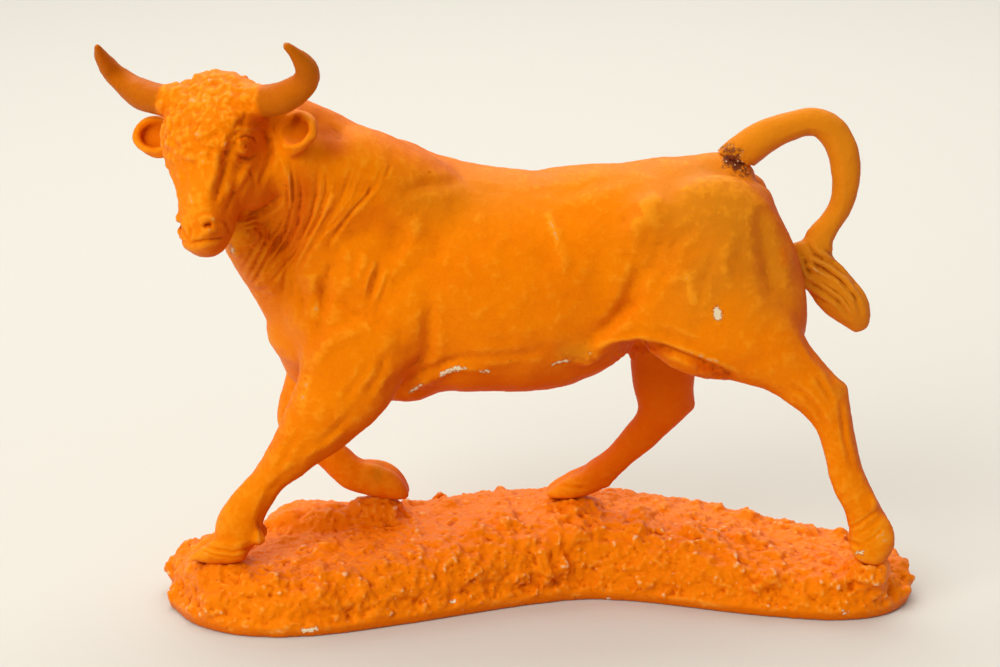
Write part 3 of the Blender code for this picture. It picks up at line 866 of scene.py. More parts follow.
@dataclass
class HeadFrame:
    """A frame of the head: X is along the bull's left, Y out of the forehead, Z towards the poll.

    Attributes:
        poll: Its origin from the middle of the piece, in metres.
        yaw: Turn from facing along -X, in degrees, as are pitch and roll.
        scale: Metres to one of its millimetres.
        line_down: How far down the face its middle line drifts.
        line_across: How far it drifts there.
    """

    poll: tuple[float, float, float]
    yaw: float
    pitch: float
    roll: float
    scale: float = 0.9 * MM
    line_down: tuple[float, ...] = (20.0, 40.0, 60.0, 75.0)
    line_across: tuple[float, ...] = (-2.5, -3.5, 0.5, 3.0)

    def matrix(self) -> Matrix:
        """The way from the head's millimetres to the part's frame.

        Returns:
            The matrix.
        """
        yaw, pitch, roll = (math.radians(angle) for angle in (self.yaw, self.pitch, self.roll))
        up = Vector((0.0, 0.0, 1.0))
        forward = Vector((-math.cos(yaw), -math.sin(yaw), 0.0))
        turned = Matrix.Rotation(-roll, 3, forward)
        left, upright = turned @ up.cross(forward), turned @ up
        crown = math.sin(pitch) * upright - math.cos(pitch) * forward
        brow = math.cos(pitch) * upright + math.sin(pitch) * forward
        made = (Matrix((left, brow, crown)).transposed() * self.scale).to_4x4()
        made.translation = EYE_TARGET + Vector(self.poll)
        return made

    def inside(self, points: np.ndarray) -> np.ndarray:
        """Points of the part's frame in the head's millimetres."""
        back = np.array(self.matrix().inverted())
        return points @ back[:3, :3].T + back[:3, 3]

    def middle_line(self, place: np.ndarray) -> np.ndarray:
        """X of the face's middle line at the height of places in the head's millimetres."""
        return np.interp(-place[:, 2], self.line_down, self.line_across)

    def cover(self, place: np.ndarray) -> np.ndarray:
        """How far places lie on the face.

        Args:
            place: A row of the head's millimetres to a vertex.

        Returns:
            A share of 0 to 1 for each vertex.
        """
        across, out, up = np.abs(place[:, 0]), place[:, 1], place[:, 2]
        length = smoothstep(up, -120.0, -115.0) * smoothstep(up, 30.0, 20.0)
        return length * (smoothstep(across, 42.0, 36.0) * smoothstep(out, -66.0, -60.0))

    def mirrored(self, points: np.ndarray) -> np.ndarray:
        """Carries points to the other half of the face.

        Args:
            points: Points of the part's frame.

        Returns:
            The same points across the face's middle line.
        """
        place = self.inside(points)
        place[:, 0] = 2.0 * self.middle_line(place) - place[:, 0]
        there = np.array(self.matrix())
        return place @ there[:3, :3].T + there[:3, 3]


FACE = HeadFrame((-0.1598, -0.0550, 0.1586), 54.0, 62.0, -8.0)
CROWN = HeadFrame((-0.1592, -0.0550, 0.1582), 64.0, 60.0, -4.0)


@dataclass
class Masses:
    """Closed shapes being gathered in a bmesh, in a frame of their own."""

    matrix: Matrix
    body: bmesh.types.BMesh = field(default_factory=bmesh.new)

    def ball(self, centre: Sequence[float], radii: Sequence[float]) -> None:
        """Adds an ellipsoid.

        Args:
            centre: Its centre.
            radii: Its radii.
        """
        placed = self.matrix @ Matrix.Translation(centre) @ Matrix.Diagonal((*radii, 1.0))
        for vertex in bmesh.ops.create_icosphere(self.body, subdivisions=3, radius=1.0)["verts"]:
            vertex.co = placed @ vertex.co

    def cord(self, stations: Sequence[Sequence[float]], sides: int = 10) -> None:
        """Adds a round bar with pointed ends.

        Args:
            stations: X, Y, Z and radius at each point along it.
            sides: How many sides it has.
        """
        rows = smooth_rows(stations, 5)
        centres = [Vector(row[:3]) for row in rows]
        rings = []
        for index, centre in enumerate(centres):
            along = (centres[min(index + 1, len(rows) - 1)] - centres[max(index - 1, 0)]).normalized()
            across = (across - along * across.dot(along) if rings else along.orthogonal()).normalized()
            other = along.cross(across)
            ring = []
            for step in range(sides):
                angle = 2.0 * math.pi * step / sides
                offset = (across * math.cos(angle) + other * math.sin(angle)) * rows[index][3]
                ring.append(self.body.verts.new(self.matrix @ (centre + offset)))
            rings.append(ring)
        for first, second in zip(rings, rings[1:]):
            for step in range(sides):
                after = (step + 1) % sides
                self.body.faces.new((first[step], first[after], second[after], second[step]))
        for ring, end in ((rings[0], 0), (rings[-1], -1)):
            tip = self.body.verts.new(self.matrix @ centres[end])
            for step in range(sides):
                self.body.faces.new((ring[step], ring[(step + 1) % sides], tip))

    def done(self) -> bmesh.types.BMesh:
        """The gathered shapes, with their faces pointing out."""
        bmesh.ops.recalc_face_normals(self.body, faces=self.body.faces)
        return self.body


def smooth_rows(rows: Sequence[Sequence[float]], steps: int) -> list[np.ndarray]:
    """A smooth curve through rows of numbers.

    Args:
        rows: The rows.
        steps: How many spans lie between two of them.

    Returns:
        The curve's rows.
    """
    given = [np.array(row, float) for row in rows]
    padded = [2 * given[0] - given[1], *given, 2 * given[-1] - given[-2]]
    found = []
    for before, start, end, after in zip(padded, padded[1:], padded[2:], padded[3:]):
        for step in range(steps):
            t = step / steps
            cubic = 3 * start - before - 3 * end + after
            square = 2 * before - 5 * start + 4 * end - after
            found.append(0.5 * (2 * start + (end - before) * t + square * t**2 + cubic * t**3))
    found.append(given[-1])
    return found


def distance_to_path(points: np.ndarray, path: Sequence[Sequence[float]]) -> np.ndarray:
    """How far points are from a line through other points.

    Args:
        points: The points, a row to each.
        path: The points that the line goes through.

    Returns:
        A distance for each point.
    """
    best = np.full(len(points), 1e9)
    for start, end in zip(np.array(path, float), np.array(path, float)[1:]):
        line = end - start
        share = np.clip(((points - start) @ line) / (line @ line), 0.0, 1.0)
        best = np.minimum(best, np.linalg.norm(points - start - share[:, None] * line, axis=1))
    return best


# Most shapes to the square metre, and one full turn in radians
MOST_SHAPES = 4.0e5
FULL_TURN = 6.2832


@dataclass(frozen=True)
class Scatter:
    """A geometry tree that sets one small shape over a surface many times.

    Attributes:
        name: The tree's name.
        shape: Makes the small shape, given the tree's wiring and its size input.
        upright: Whether each shape stands square on the surface, turned only about its own axis.
    """

    name: str
    shape: Callable[[Wiring, bpy.types.NodeSocket], bpy.types.NodeSocket]
    upright: bool

    def tree(self) -> bpy.types.NodeTree:
        """The tree, with inputs for the spacing, sizes, depth of seat, seed and finish.

        Returns:
            The tree.
        """
        made = bpy.data.node_groups.new(self.name, "GeometryNodeTree")
        kinds = {
            "Geometry": "NodeSocketGeometry",
            "Spacing": "NodeSocketFloat",
            "Size": "NodeSocketFloat",
            "Least": "NodeSocketFloat",
            "Most": "NodeSocketFloat",
            "Sink": "NodeSocketFloat",
            "Seed": "NodeSocketInt",
            "Finish": "NodeSocketMaterial",
        }
        for name, kind in kinds.items():
            made.interface.new_socket(name=name, in_out="INPUT", socket_type=kind)
        made.interface.new_socket(name="Geometry", in_out="OUTPUT", socket_type="NodeSocketGeometry")
        wiring = Wiring(made)
        given = wiring.add("NodeGroupInput").outputs
        where = wiring.add("GeometryNodeInputNamedAttribute", {"Name": "scatter"}, data_type="FLOAT")
        inputs = {
            "Mesh": given["Geometry"],
            "Distance Min": given["Spacing"],
            "Density Max": MOST_SHAPES,
            "Density Factor": where.outputs[0],
            "Seed": given["Seed"],
        }
        points = wiring.add("GeometryNodeDistributePointsOnFaces", inputs, distribute_method="POISSON")
        depth = wiring.maths("MULTIPLY", given["Sink"], -1.0)
        inputs = {0: points.outputs["Normal"], "Scale": depth}
        offset = wiring.add("ShaderNodeVectorMath", inputs, operation="SCALE").outputs[0]
        inputs = {"Geometry": points.outputs["Points"], "Offset": offset}
        seated = wiring.add("GeometryNodeSetPosition", inputs)
        inputs = {0: (0.0, 0.0, 0.0), 1: (FULL_TURN,) * 3, "Seed": given["Seed"]}
        spin = wiring.add("FunctionNodeRandomValue", inputs, data_type="FLOAT_VECTOR").outputs[0]
        if self.upright:
            inputs = {0: spin, 1: (0.0, 0.0, 1.0)}
            about = wiring.add("ShaderNodeVectorMath", inputs, operation="MULTIPLY").outputs[0]
            turned = wiring.add("FunctionNodeEulerToRotation", {0: about}).outputs[0]
            inputs = {0: points.outputs["Rotation"], 1: turned}
            rotation = wiring.add("FunctionNodeRotateRotation", inputs, rotation_space="LOCAL").outputs[0]
        else:
            rotation = wiring.add("FunctionNodeEulerToRotation", {0: spin}).outputs[0]
        least, most = (
            wiring.add("ShaderNodeCombineXYZ", dict.fromkeys(range(3), given[name])).outputs[0]
            for name in ("Least", "Most")
        )
        inputs = {0: least, 1: most, "Seed": given["Seed"]}
        sizes = wiring.add("FunctionNodeRandomValue", inputs, data_type="FLOAT_VECTOR")
        inputs = {
            "Points": seated.outputs[0],
            "Instance": self.shape(wiring, given["Size"]),
            "Rotation": rotation,
            "Scale": sizes.outputs[0],
        }
        placed = wiring.add("GeometryNodeInstanceOnPoints", inputs)
        both = wiring.add("GeometryNodeJoinGeometry")
        made.links.new(given["Geometry"], both.inputs[0])
        made.links.new(placed.outputs[0], both.inputs[0])
        real = wiring.add("GeometryNodeRealizeInstances", {0: both.outputs[0]})
        inputs = {"Geometry": real.outputs[0], "Material": given["Finish"]}
        dressed = wiring.add("GeometryNodeSetMaterial", inputs)
        wiring.add("NodeGroupOutput", {0: dressed.outputs[0]})
        return made

    def over(
        self, skin: Skin, finish: bpy.types.Material, where: np.ndarray, seed: int, **sizes: float
    ) -> Skin:
        """Sets the shapes over a skin and joins them to it.

        Args:
            skin: The surface.
            finish: The shapes' material.
            where: How thickly they lie at each of its vertices, from 0 to 1.
            seed: Fixes their places, turns and sizes.
            sizes: Spacing, Size and Sink in millimetres, and Least and Most as shares of the size.

        Returns:
            The skin.
        """
        skin.mark("scatter", where)
        modifier = skin.object.modifiers.new(self.name, "NODES")
        modifier.node_group = self.tree()
        values = {"Seed": seed, "Finish": finish, "Least": sizes.pop("Least"), "Most": sizes.pop("Most")}
        values.update({name: value * MM for name, value in sizes.items()})
        for item in modifier.node_group.interface.items_tree:
            if item.item_type == "SOCKET" and item.in_out == "INPUT" and item.name in values:
                modifier[item.identifier] = values[item.name]
        return skin.apply()


def clod_shape(wiring: Wiring, size: bpy.types.NodeSocket) -> bpy.types.NodeSocket:
    """A small crumb of soil."""
    return wiring.add("GeometryNodeMeshIcoSphere", {"Radius": size, "Subdivisions": 1}).outputs[0]


def lock_shape(wiring: Wiring, size: bpy.types.NodeSocket) -> bpy.types.NodeSocket:
    """A short matted lock of hair, longer than it is wide."""
    lump = wiring.add("GeometryNodeMeshIcoSphere", {"Radius": size, "Subdivisions": 2}).outputs[0]
    return wiring.add("GeometryNodeTransform", {"Geometry": lump, "Scale": LOCK_PROPORTIONS}).outputs[0]


LOCK_PROPORTIONS = (1.5, 0.72, 0.5)
LOCKS = Scatter("Locks", lock_shape, True)
CLODS = Scatter("Clods", clod_shape, False)


def groove(depth: float, width: float, *points: tuple[float, float]) -> Stroke:
    """A groove on the sheet."""
    return Stroke(points, -depth, width)


def ridge(height: float, width: float, *points: tuple[float, float]) -> Stroke:
    """A ridge on the sheet."""
    return Stroke(points, height, width)


def patch(strength: float, width: float, *points: tuple[float, float]) -> Stroke:
    """A patch of colour on the sheet."""
    return Stroke(points, strength, width)


def only(side: Side, *marks: Stroke) -> tuple[Stroke, ...]:
    """Marks kept to one place."""
    return tuple(replace(mark, side=side) for mark in marks)


def between(
    marks: Sequence[Stroke], count: int, height: float, width: float, seed: int
) -> tuple[Stroke, ...]:
    """Finer marks that run between neighbouring marks and follow them.

    Args:
        marks: The marks, side by side.
        count: How many finer ones lie between two.
        height: Their greatest height in millimetres.
        width: Their half width in millimetres.
        seed: Fixes their lengths and places.

    Returns:
        The finer marks.
    """
    drawn = np.random.default_rng(seed)
    steps = np.linspace(0.0, 1.0, 9)
    made = []
    for first, second in zip(marks, marks[1:]):
        ends = []
        for mark in (first, second):
            path = np.array(mark.points)
            run = np.linspace(0.0, 1.0, len(path))
            ends.append(np.stack([np.interp(steps, run, path[:, axis]) for axis in (0, 1)], 1))
        for index in range(count):
            share = (index + 1) / (count + 1) + drawn.uniform(-0.12, 0.12)
            points = ends[0] * (1.0 - share) + ends[1] * share + drawn.normal(0.0, 0.5, (len(steps), 2))
            start, length = drawn.integers(0, 4), drawn.integers(4, 8)
            chosen = tuple(map(tuple, points[start : start + length]))
            tall, wide = height * drawn.uniform(0.4, 1.0), width * drawn.uniform(0.8, 1.3)
            made.append(Stroke(chosen, tall, wide, first.side))
    return tuple(made)


# Long furrows of the neck, from behind the ear to the brisket
NECK_MARKS = (
    groove(0.42, 1.02, (281, 152), (286, 170), (287, 190), (286, 210), (280, 226), (270, 240), (262, 250)),
    groove(0.77, 1.19, (288, 160), (292, 180), (292, 200), (289, 215), (284, 232), (276, 248), (270, 258)),
    groove(0.77, 1.19, (300, 175), (301, 200), (297, 222), (287, 243), (277, 258), (267, 270), (260, 280)),
    groove(
        1.10, 1.36, (318, 170), (316, 195), (311, 215), (302, 235),
        (293, 252), (283, 268), (272, 281), (266, 288)
    ),
    groove(
        0.85, 1.19, (329, 172), (327, 195), (320, 215), (310, 232),
        (300, 248), (291, 262), (284, 275), (283, 298)
    ),
    groove(
        0.85, 1.19, (350, 172), (345, 190), (337, 205), (330, 218),
        (322, 232), (313, 245), (305, 258), (299, 270)
    ),
    groove(0.77, 1.19, (380, 172), (376, 185), (366, 198), (355, 208), (344, 222), (334, 235), (327, 247)),
    groove(0.59, 1.02, (390, 165), (385, 178)),
    groove(0.59, 1.02, (372, 183), (368, 196)),
)
# Muscles of the shoulder
SHOULDER_MARKS = (
    ridge(1.6, 3.6, (314, 272), (316, 290), (316, 310), (318, 322)),
    ridge(1.7, 5.4, (352, 268), (342, 285), (335, 300), (332, 315), (333, 325)),
    ridge(1.7, 5.4, (412, 215), (417, 228), (414, 245), (403, 262), (392, 278)),
    ridge(1.7, 5.4, (310, 372), (325, 345), (345, 335), (370, 325)),
    groove(0.9, 4.0, (322, 275), (325, 295), (322, 315), (318, 340), (312, 358)),
    groove(0.7, 4.0, (360, 255), (350, 278)),
    groove(0.7, 4.0, (437, 235), (438, 250), (432, 262)),
    groove(0.7, 5.1, (400, 215), (396, 235), (385, 255), (370, 275)),
    groove(1.3, 3.7, (426, 290), (430, 310), (430, 335), (428, 355), (420, 370), (408, 382)),
    groove(0.8, 4.8, (360, 308), (355, 322), (350, 330)),
    groove(0.6, 4.4, (400, 300), (402, 320), (400, 340), (398, 360)),
    groove(0.6, 1.5, (300, 285), (303, 300), (302, 318)),
    groove(0.6, 1.5, (330, 262), (326, 280)),
    ridge(0.9, 1.6, (375, 262), (368, 280), (364, 296)),
    groove(0.6, 1.8, (380, 262), (374, 282), (368, 300)),
)
# Muscles of the forearm and the fold behind the elbow
FORELEG_MARKS = (
    groove(0.7, 2.6, (372, 358), (362, 375), (350, 390), (344, 403)),
    groove(0.7, 2.6, (385, 355), (380, 375), (365, 395)),
    groove(0.7, 2.3, (355, 410), (335, 430), (318, 448)),
    ridge(1.0, 2.6, (345, 430), (325, 445), (300, 460)),
    groove(0.7, 2.3, (300, 430), (285, 455), (275, 475)),
    groove(0.6, 2.1, (300, 465), (285, 475), (270, 490), (262, 510), (258, 530)),
    groove(0.8, 2.6, (380, 395), (395, 380), (410, 368), (425, 355)),
    ridge(1.5, 2.2, (405, 397), (415, 388), (425, 382), (440, 376), (450, 368), (470, 368), (490, 370)),
    groove(0.9, 2.3, (400, 385), (420, 373), (440, 366), (460, 360)),
    groove(0.6, 2.3, (430, 362), (460, 358), (500, 356), (540, 352)),
)
# Ribs and back
BACK_MARKS = (
    ridge(1.4, 5.5, (545, 212), (553, 230), (560, 245), (563, 262), (560, 275)),
    groove(0.8, 3.4, (400, 198), (412, 190), (425, 185), (460, 183)),
    groove(0.8, 4.0, (550, 198), (575, 192), (600, 185), (640, 170)),
    ridge(0.6, 7.0, (480, 230), (490, 260), (492, 300)),
    ridge(0.6, 7.0, (520, 240), (528, 270), (526, 310)),
    groove(0.9, 6.0, (595, 235), (602, 262), (600, 290), (590, 315)),
)
# Hip, thigh and the fold of the flank
HAUNCH_MARKS = (
    ridge(1.7, 8.0, (655, 175), (648, 195), (640, 215), (634, 235), (632, 255)),
    groove(1.0, 3.2, (620, 225), (630, 216), (642, 209)),
    groove(1.5, 4.0, (652, 262), (640, 275), (633, 288), (628, 302), (615, 320), (603, 332), (590, 343)),
    ridge(1.0, 4.5, (652, 268), (648, 290), (645, 305), (640, 318)),
    ridge(1.0, 4.5, (655, 245), (668, 262), (672, 275), (662, 290), (652, 305), (640, 325)),
    ridge(0.9, 4.5, (684, 268), (686, 285), (693, 298), (700, 310)),
    ridge(0.9, 4.5, (735, 228), (727, 250), (725, 270), (730, 290)),
    groove(0.9, 3.6, (697, 225), (680, 238), (668, 248)),
    groove(1.8, 5.0, (762, 205), (763, 225), (765, 250), (770, 275), (775, 300)),
    ridge(1.4, 2.2, (592, 349), (610, 341), (640, 336), (662, 340), (690, 350), (715, 360), (742, 373)),
    groove(2.2, 2.2, (598, 354), (614, 347), (640, 343), (662, 347), (688, 357), (713, 367), (738, 379)),
    groove(0.8, 2.4, (655, 328), (680, 337), (700, 346)),
    groove(0.5, 1.6, (618, 345), (645, 343), (668, 350)),
)
# Brow, eye, cheek, nostril, mouth and jaw
FACE_MARKS = tuple(
    Stroke(tuple(points), height, width, Side.FACE)
    for height, width, *points in (
        (0.83, 0.8, (238, 147), (241, 142), (246, 140), (251, 142), (255, 147)),
        (0.68, 0.8, (239, 149), (243, 153), (249, 153.5), (255, 149)),
        (-0.75, 0.8, (234, 146), (238, 138.5), (246, 135.5), (254, 138), (260, 145)),
        (-0.68, 0.9, (236, 153), (242, 158.5), (250, 159), (258, 154)),
        (1.05, 2.0, (228, 130), (237, 129), (247, 129), (257, 131), (264, 138)),
        (0.60, 1.3, (232, 156), (240, 165), (250, 166), (260, 160)),
        (-1.05, 1.8, (263, 128), (269, 140), (270, 152), (267, 166), (262, 178), (257, 190)),
        (0.90, 1.8, (271, 132), (277, 146), (278, 160), (274, 176)),
        (1.50, 1.7, (280, 148), (284, 163), (287, 175), (290, 190), (291, 205), (288, 222)),
        (0.75, 1.7, (236, 172), (230, 185), (225, 200)),
        (-0.75, 1.4, (229, 160), (225, 175), (220, 190), (215, 205)),
        (-0.60, 1.4, (241, 176), (235, 190), (229, 205), (224, 216)),
        (0.60, 1.6, (250, 175), (246, 190), (240, 204)),
        (-0.52, 1.2, (248, 168), (255, 182), (254, 196)),
        (
            0.90, 3.2, (250, 104), (240, 116), (229, 124), (223, 140),
            (217, 162), (212, 180), (205, 200), (200, 214)
        ),
        (-1.05, 2.6, (236, 133), (229, 150), (225, 166), (220, 184), (214, 201)),
        (-2.55, 1.4, (203, 228), (206, 225.5), (210, 224.5), (213, 226)),
        (0.90, 1.4, (198, 221), (204, 217), (212, 217.5), (217, 222)),
        (0.75, 1.2, (203, 234), (210, 232), (217, 229)),
        (-0.60, 1.0, (191, 227), (190.5, 235), (189, 242)),
        (-0.7, 0.9, (189, 242), (198, 241), (206, 239.5), (214, 239), (222, 238), (228, 236)),
        (0.60, 1.2, (196, 247), (206, 246), (214, 244), (225, 242)),
        (-0.90, 1.4, (222, 219), (228, 226), (230, 234)),
        (-1.95, 2.2, (242, 220), (250, 215), (262, 212), (272, 205), (281, 195)),
    )
)
# Loose skin of the throat
THROAT_MARKS = (
    ridge(1.3, 2.2, (231, 246), (235, 250), (240, 256)),
    groove(0.9, 1.2, (262, 232), (254, 248), (246, 262), (241, 270)),
    groove(0.9, 1.2, (272, 230), (263, 249), (254, 266), (247, 280)),
    groove(1.0, 1.3, (281, 232), (272, 252), (261, 270), (252, 285)),
    groove(0.7, 0.8, (245, 221), (252, 218), (259, 217)),
    groove(0.7, 0.8, (244, 226), (252, 223), (260, 222)),
    groove(0.7, 0.8, (245, 231), (252, 229), (259, 228)),
)
# Lines that the finer modelling follows over shoulder and thigh
SHOULDER_FLOW = (
    groove(0.5, 1.2, (296, 268), (292, 285), (290, 300), (292, 315)),
    groove(0.5, 1.2, (322, 262), (318, 285), (318, 305), (316, 330)),
    groove(0.5, 1.2, (352, 258), (344, 280), (338, 300), (330, 322)),
    groove(0.5, 1.2, (385, 248), (374, 272), (364, 295), (352, 318)),
    groove(0.5, 1.2, (412, 250), (402, 272), (396, 295), (388, 318)),
)
THIGH_FLOW = (
    groove(0.4, 1.6, (640, 212), (628, 240), (618, 268), (600, 300)),
    groove(0.4, 1.6, (668, 225), (655, 255), (645, 285), (622, 318)),
    groove(0.4, 1.6, (700, 230), (690, 262), (680, 295), (660, 325)),
    groove(0.4, 1.6, (735, 235), (724, 265), (718, 300), (705, 335)),
)
# Finer modelling and the finer furrows of the neck
SOFT_MARKS = (
    between(SHOULDER_FLOW, 2, 0.9, 2.8, 21)
    + between(SHOULDER_FLOW, 2, -0.5, 1.8, 22)
    + between(THIGH_FLOW, 2, 0.7, 3.4, 23)
    + between(THIGH_FLOW, 1, -0.5, 2.6, 24)
)
FINE_MARKS = between(NECK_MARKS[:-2], 5, -0.55, 0.75, 3) + between(NECK_MARKS[:-2], 2, 0.5, 1.0, 7)
# Hooves, dewclaws and the bend of the folded foreleg
HOOF_MARKS = only(
    Side.NEAR,
    groove(0.7, 1.0, (200, 543), (215, 549), (232, 552), (248, 549), (260, 543)),
    groove(0.35, 0.7, (199, 549), (214, 555), (232, 558), (246, 556)),
    ridge(0.5, 1.6, (204, 538), (218, 543), (234, 545), (250, 541)),
    groove(0.7, 1.2, (258, 520), (262, 532), (262, 545)),
    groove(0.7, 1.0, (848, 528), (858, 524), (868, 517), (878, 510)),
    groove(0.4, 0.8, (856, 534), (868, 528), (880, 520)),
    groove(0.4, 0.8, (862, 544), (874, 537), (884, 528)),
    groove(0.8, 1.2, (355, 462), (358, 478), (360, 492)),
    ridge(0.8, 2.0, (374, 454), (382, 460)),
    groove(0.6, 1.2, (384, 466), (392, 474), (398, 484)),
) + only(
    Side.FAR,
    ridge(0.7, 1.6, (600, 477), (608, 474), (616, 478)),
    groove(0.6, 1.2, (560, 484), (575, 487), (592, 488)),
)
# Strands of the switch
TAIL_MARKS = (
    groove(1.5, 1.5, (798, 250), (808, 262), (822, 268), (840, 280), (856, 298), (862, 316)),
    groove(1.5, 1.4, (806, 240), (816, 254), (834, 264), (852, 278), (866, 300)),
    groove(1.4, 1.5, (798, 268), (804, 280), (820, 290), (838, 302), (852, 320)),
    groove(1.0, 1.2, (822, 246), (836, 258), (850, 270), (862, 286)),
    ridge(1.1, 1.6, (802, 256), (816, 270), (834, 278), (850, 292), (860, 308)),
    ridge(1.0, 1.6, (801, 276), (812, 287), (830, 298), (846, 312)),
    ridge(1.0, 1.5, (812, 246), (826, 258), (842, 268), (856, 282)),
    groove(0.9, 1.2, (804, 290), (816, 298), (830, 306)),
    groove(1.4, 1.8, (804, 258), (808, 268), (812, 276)),
)
TAIL_FINE = between(TAIL_MARKS[:4], 3, -0.4, 0.6, 8)
# Chips down to pale undercoat, on the bull and on the rim
CHIP_MARKS = (
    patch(1.0, 2.6, (714, 305), (718, 314), (720, 322)),
    patch(0.75, 1.5, (408, 394), (416, 388), (424, 383)),
    patch(0.8, 1.9, (436, 377), (448, 371), (460, 368), (470, 368)),
    patch(0.7, 1.2, (478, 371), (486, 372), (492, 370)),
    patch(0.62, 1.2, (548, 366), (560, 362), (572, 360)),
    patch(0.6, 1.3, (588, 352), (594, 356)),
    patch(0.7, 1.8, (853, 553), (860, 553), (866, 551)),
    patch(0.55, 2.2, (228, 240), (233, 250), (238, 256)),
)
RIM_CHIPS = (
    patch(0.9, 1.8, (299, 631), (310, 630), (322, 628)),
    patch(0.8, 1.6, (449, 601), (453, 602), (457, 600)),
    patch(0.7, 1.2, (604, 598), (612, 598)),
    patch(0.7, 1.4, (840, 611), (852, 613)),
)
# Dark filler at the root of the tail
GLAZE_MARKS = (
    patch(1.15, 5.5, (722, 155), (734, 162), (743, 172)),
    patch(0.8, 5.0, (718, 150), (730, 150), (744, 156)),
    patch(0.8, 4.0, (742, 168), (749, 178)),
)
# Painted shade in the eye, nostril, ear and mouth
HOLLOW_SHADE_MARKS = (
    patch(1.3, 1.5, (243.0, 146.5), (247.0, 146.5)),
    patch(1.0, 1.6, (204, 227), (208, 224.5), (212, 225)),
    patch(0.8, 0.9, (236, 145), (241, 141), (248, 140), (254, 143)),
    patch(0.7, 5.0, (292, 118), (300, 122)),
    patch(0.5, 1.0, (189, 242), (200, 241), (212, 239), (224, 237.5)),
)
# Paint worn thin on what stands proud
WORN_MARKS = (
    patch(1.0, 3.5, (185, 214), (192, 222)),
    patch(0.9, 4.0, (190, 190), (196, 205)),
    patch(0.7, 7.0, (185, 105), (215, 95), (235, 90)),
    patch(0.8, 4.0, (202, 150), (206, 165)),
    patch(1.0, 2.2, (312, 370), (306, 382), (303, 395), (301, 410), (297, 415)),
    patch(0.8, 1.4, (317, 290), (317, 312), (319, 322)),
    patch(0.8, 2.0, (546, 213), (554, 232), (561, 248)),
    patch(0.7, 2.0, (684, 268), (688, 288), (698, 306)),
    patch(0.8, 1.6, (690, 350), (715, 361), (740, 372)),
    patch(0.8, 3.0, (205, 545), (205, 558)),
    patch(0.9, 4.0, (876, 528), (886, 544)),
    patch(0.7, 3.0, (378, 468), (384, 476)),
)
# Coarse places of the cast
ROUGH_MARKS = (
    patch(1.0, 5.0, (692, 364), (712, 371), (732, 378)),
    patch(0.8, 4.0, (600, 362), (620, 356), (650, 350), (675, 352)),
    patch(0.9, 7.0, (250, 225), (256, 240), (250, 256)),
    patch(0.6, 4.0, (548, 362), (566, 361), (590, 358), (600, 366)),
    patch(0.4, 8.0, (245, 262), (262, 285), (280, 300)),
)
# Painted shade under the belly, on the neck and on the brow
SHADED_MARKS = (
    patch(1.1, 5.0, (688, 360), (704, 368), (722, 375), (738, 381)),
    patch(1.1, 4.5, (606, 356), (625, 350), (650, 348), (675, 352)),
    patch(0.8, 11.0, (300, 158), (304, 190), (296, 225), (272, 262)),
    patch(0.75, 8.0, (318, 120), (330, 140), (340, 162)),
    patch(0.8, 8.0, (262, 228), (252, 250)),
    patch(0.8, 7.0, (260, 108), (262, 130), (258, 160), (246, 190)),
    patch(0.7, 4.0, (785, 240), (788, 270)),
)
# Ochre over the haunch, the back and the heels
OCHRE_MARKS = (
    patch(1.0, 40.0, (640, 160), (690, 190), (740, 215), (790, 270), (800, 330)),
    patch(0.8, 34.0, (690, 250), (740, 290)),
    patch(0.55, 20.0, (380, 200), (450, 190), (560, 175)),
    patch(0.8, 7.0, (552, 354), (575, 354), (596, 350)),
    patch(0.6, 5.0, (836, 384), (846, 396)),
    patch(0.6, 8.0, (372, 470), (384, 472)),
)
# Sinews of the hind leg
HIND_LEG_MARKS = only(
    Side.NEAR,
    groove(1.0, 2.0, (800, 330), (815, 355), (830, 372), (838, 390)),
    groove(1.0, 1.8, (790, 385), (805, 395), (818, 410), (828, 430)),
    groove(0.8, 1.6, (815, 375), (825, 390), (833, 402)),
    groove(0.8, 1.6, (840, 400), (845, 440), (852, 470)),
    groove(1.2, 1.4, (845, 540), (852, 543), (860, 546)),
)

# Rows of the horns, brows and cheeks, in the head's millimetres: place and radius
HORN_ROWS = (
    (24.0, -5.0, -7.0, 9.4),
    (31.0, -4.0, -7.7, 9.6),
    (43.0, -2.6, -6.9, 9.4),
    (55.0, -1.0, -3.9, 8.8),
    (65.5, 2.0, 1.7, 7.6),
    (72.0, 9.5, 6.5, 6.6),
    (72.0, 22.0, 10.4, 4.8),
    (68.5, 33.4, 13.8, 2.2),
    (67.4, 35.4, 14.4, 0.8),
)
EAR_SET_BACK = (0.0, -11.0, 8.0)
BROW_ROWS = (
    (22.0, -1.0, -26.0, 2.0),
    (26.5, -5.0, -27.0, 3.2),
    (28.5, -11.0, -28.0, 3.2),
    (28.0, -18.0, -31.0, 2.0),
)
CHEEK_ROWS = (
    (25.5, -22.0, -42.0, 1.5),
    (24.5, -20.0, -50.0, 3.0),
    (21.0, -17.0, -60.0, 3.0),
    (16.5, -14.0, -70.0, 1.5),
)


BULL_MARKS = (
    NECK_MARKS
    + SHOULDER_MARKS
    + FORELEG_MARKS
    + BACK_MARKS
    + HAUNCH_MARKS
    + HIND_LEG_MARKS
    + FACE_MARKS
    + THROAT_MARKS
    + FINE_MARKS
    + HOOF_MARKS
    + SOFT_MARKS
)


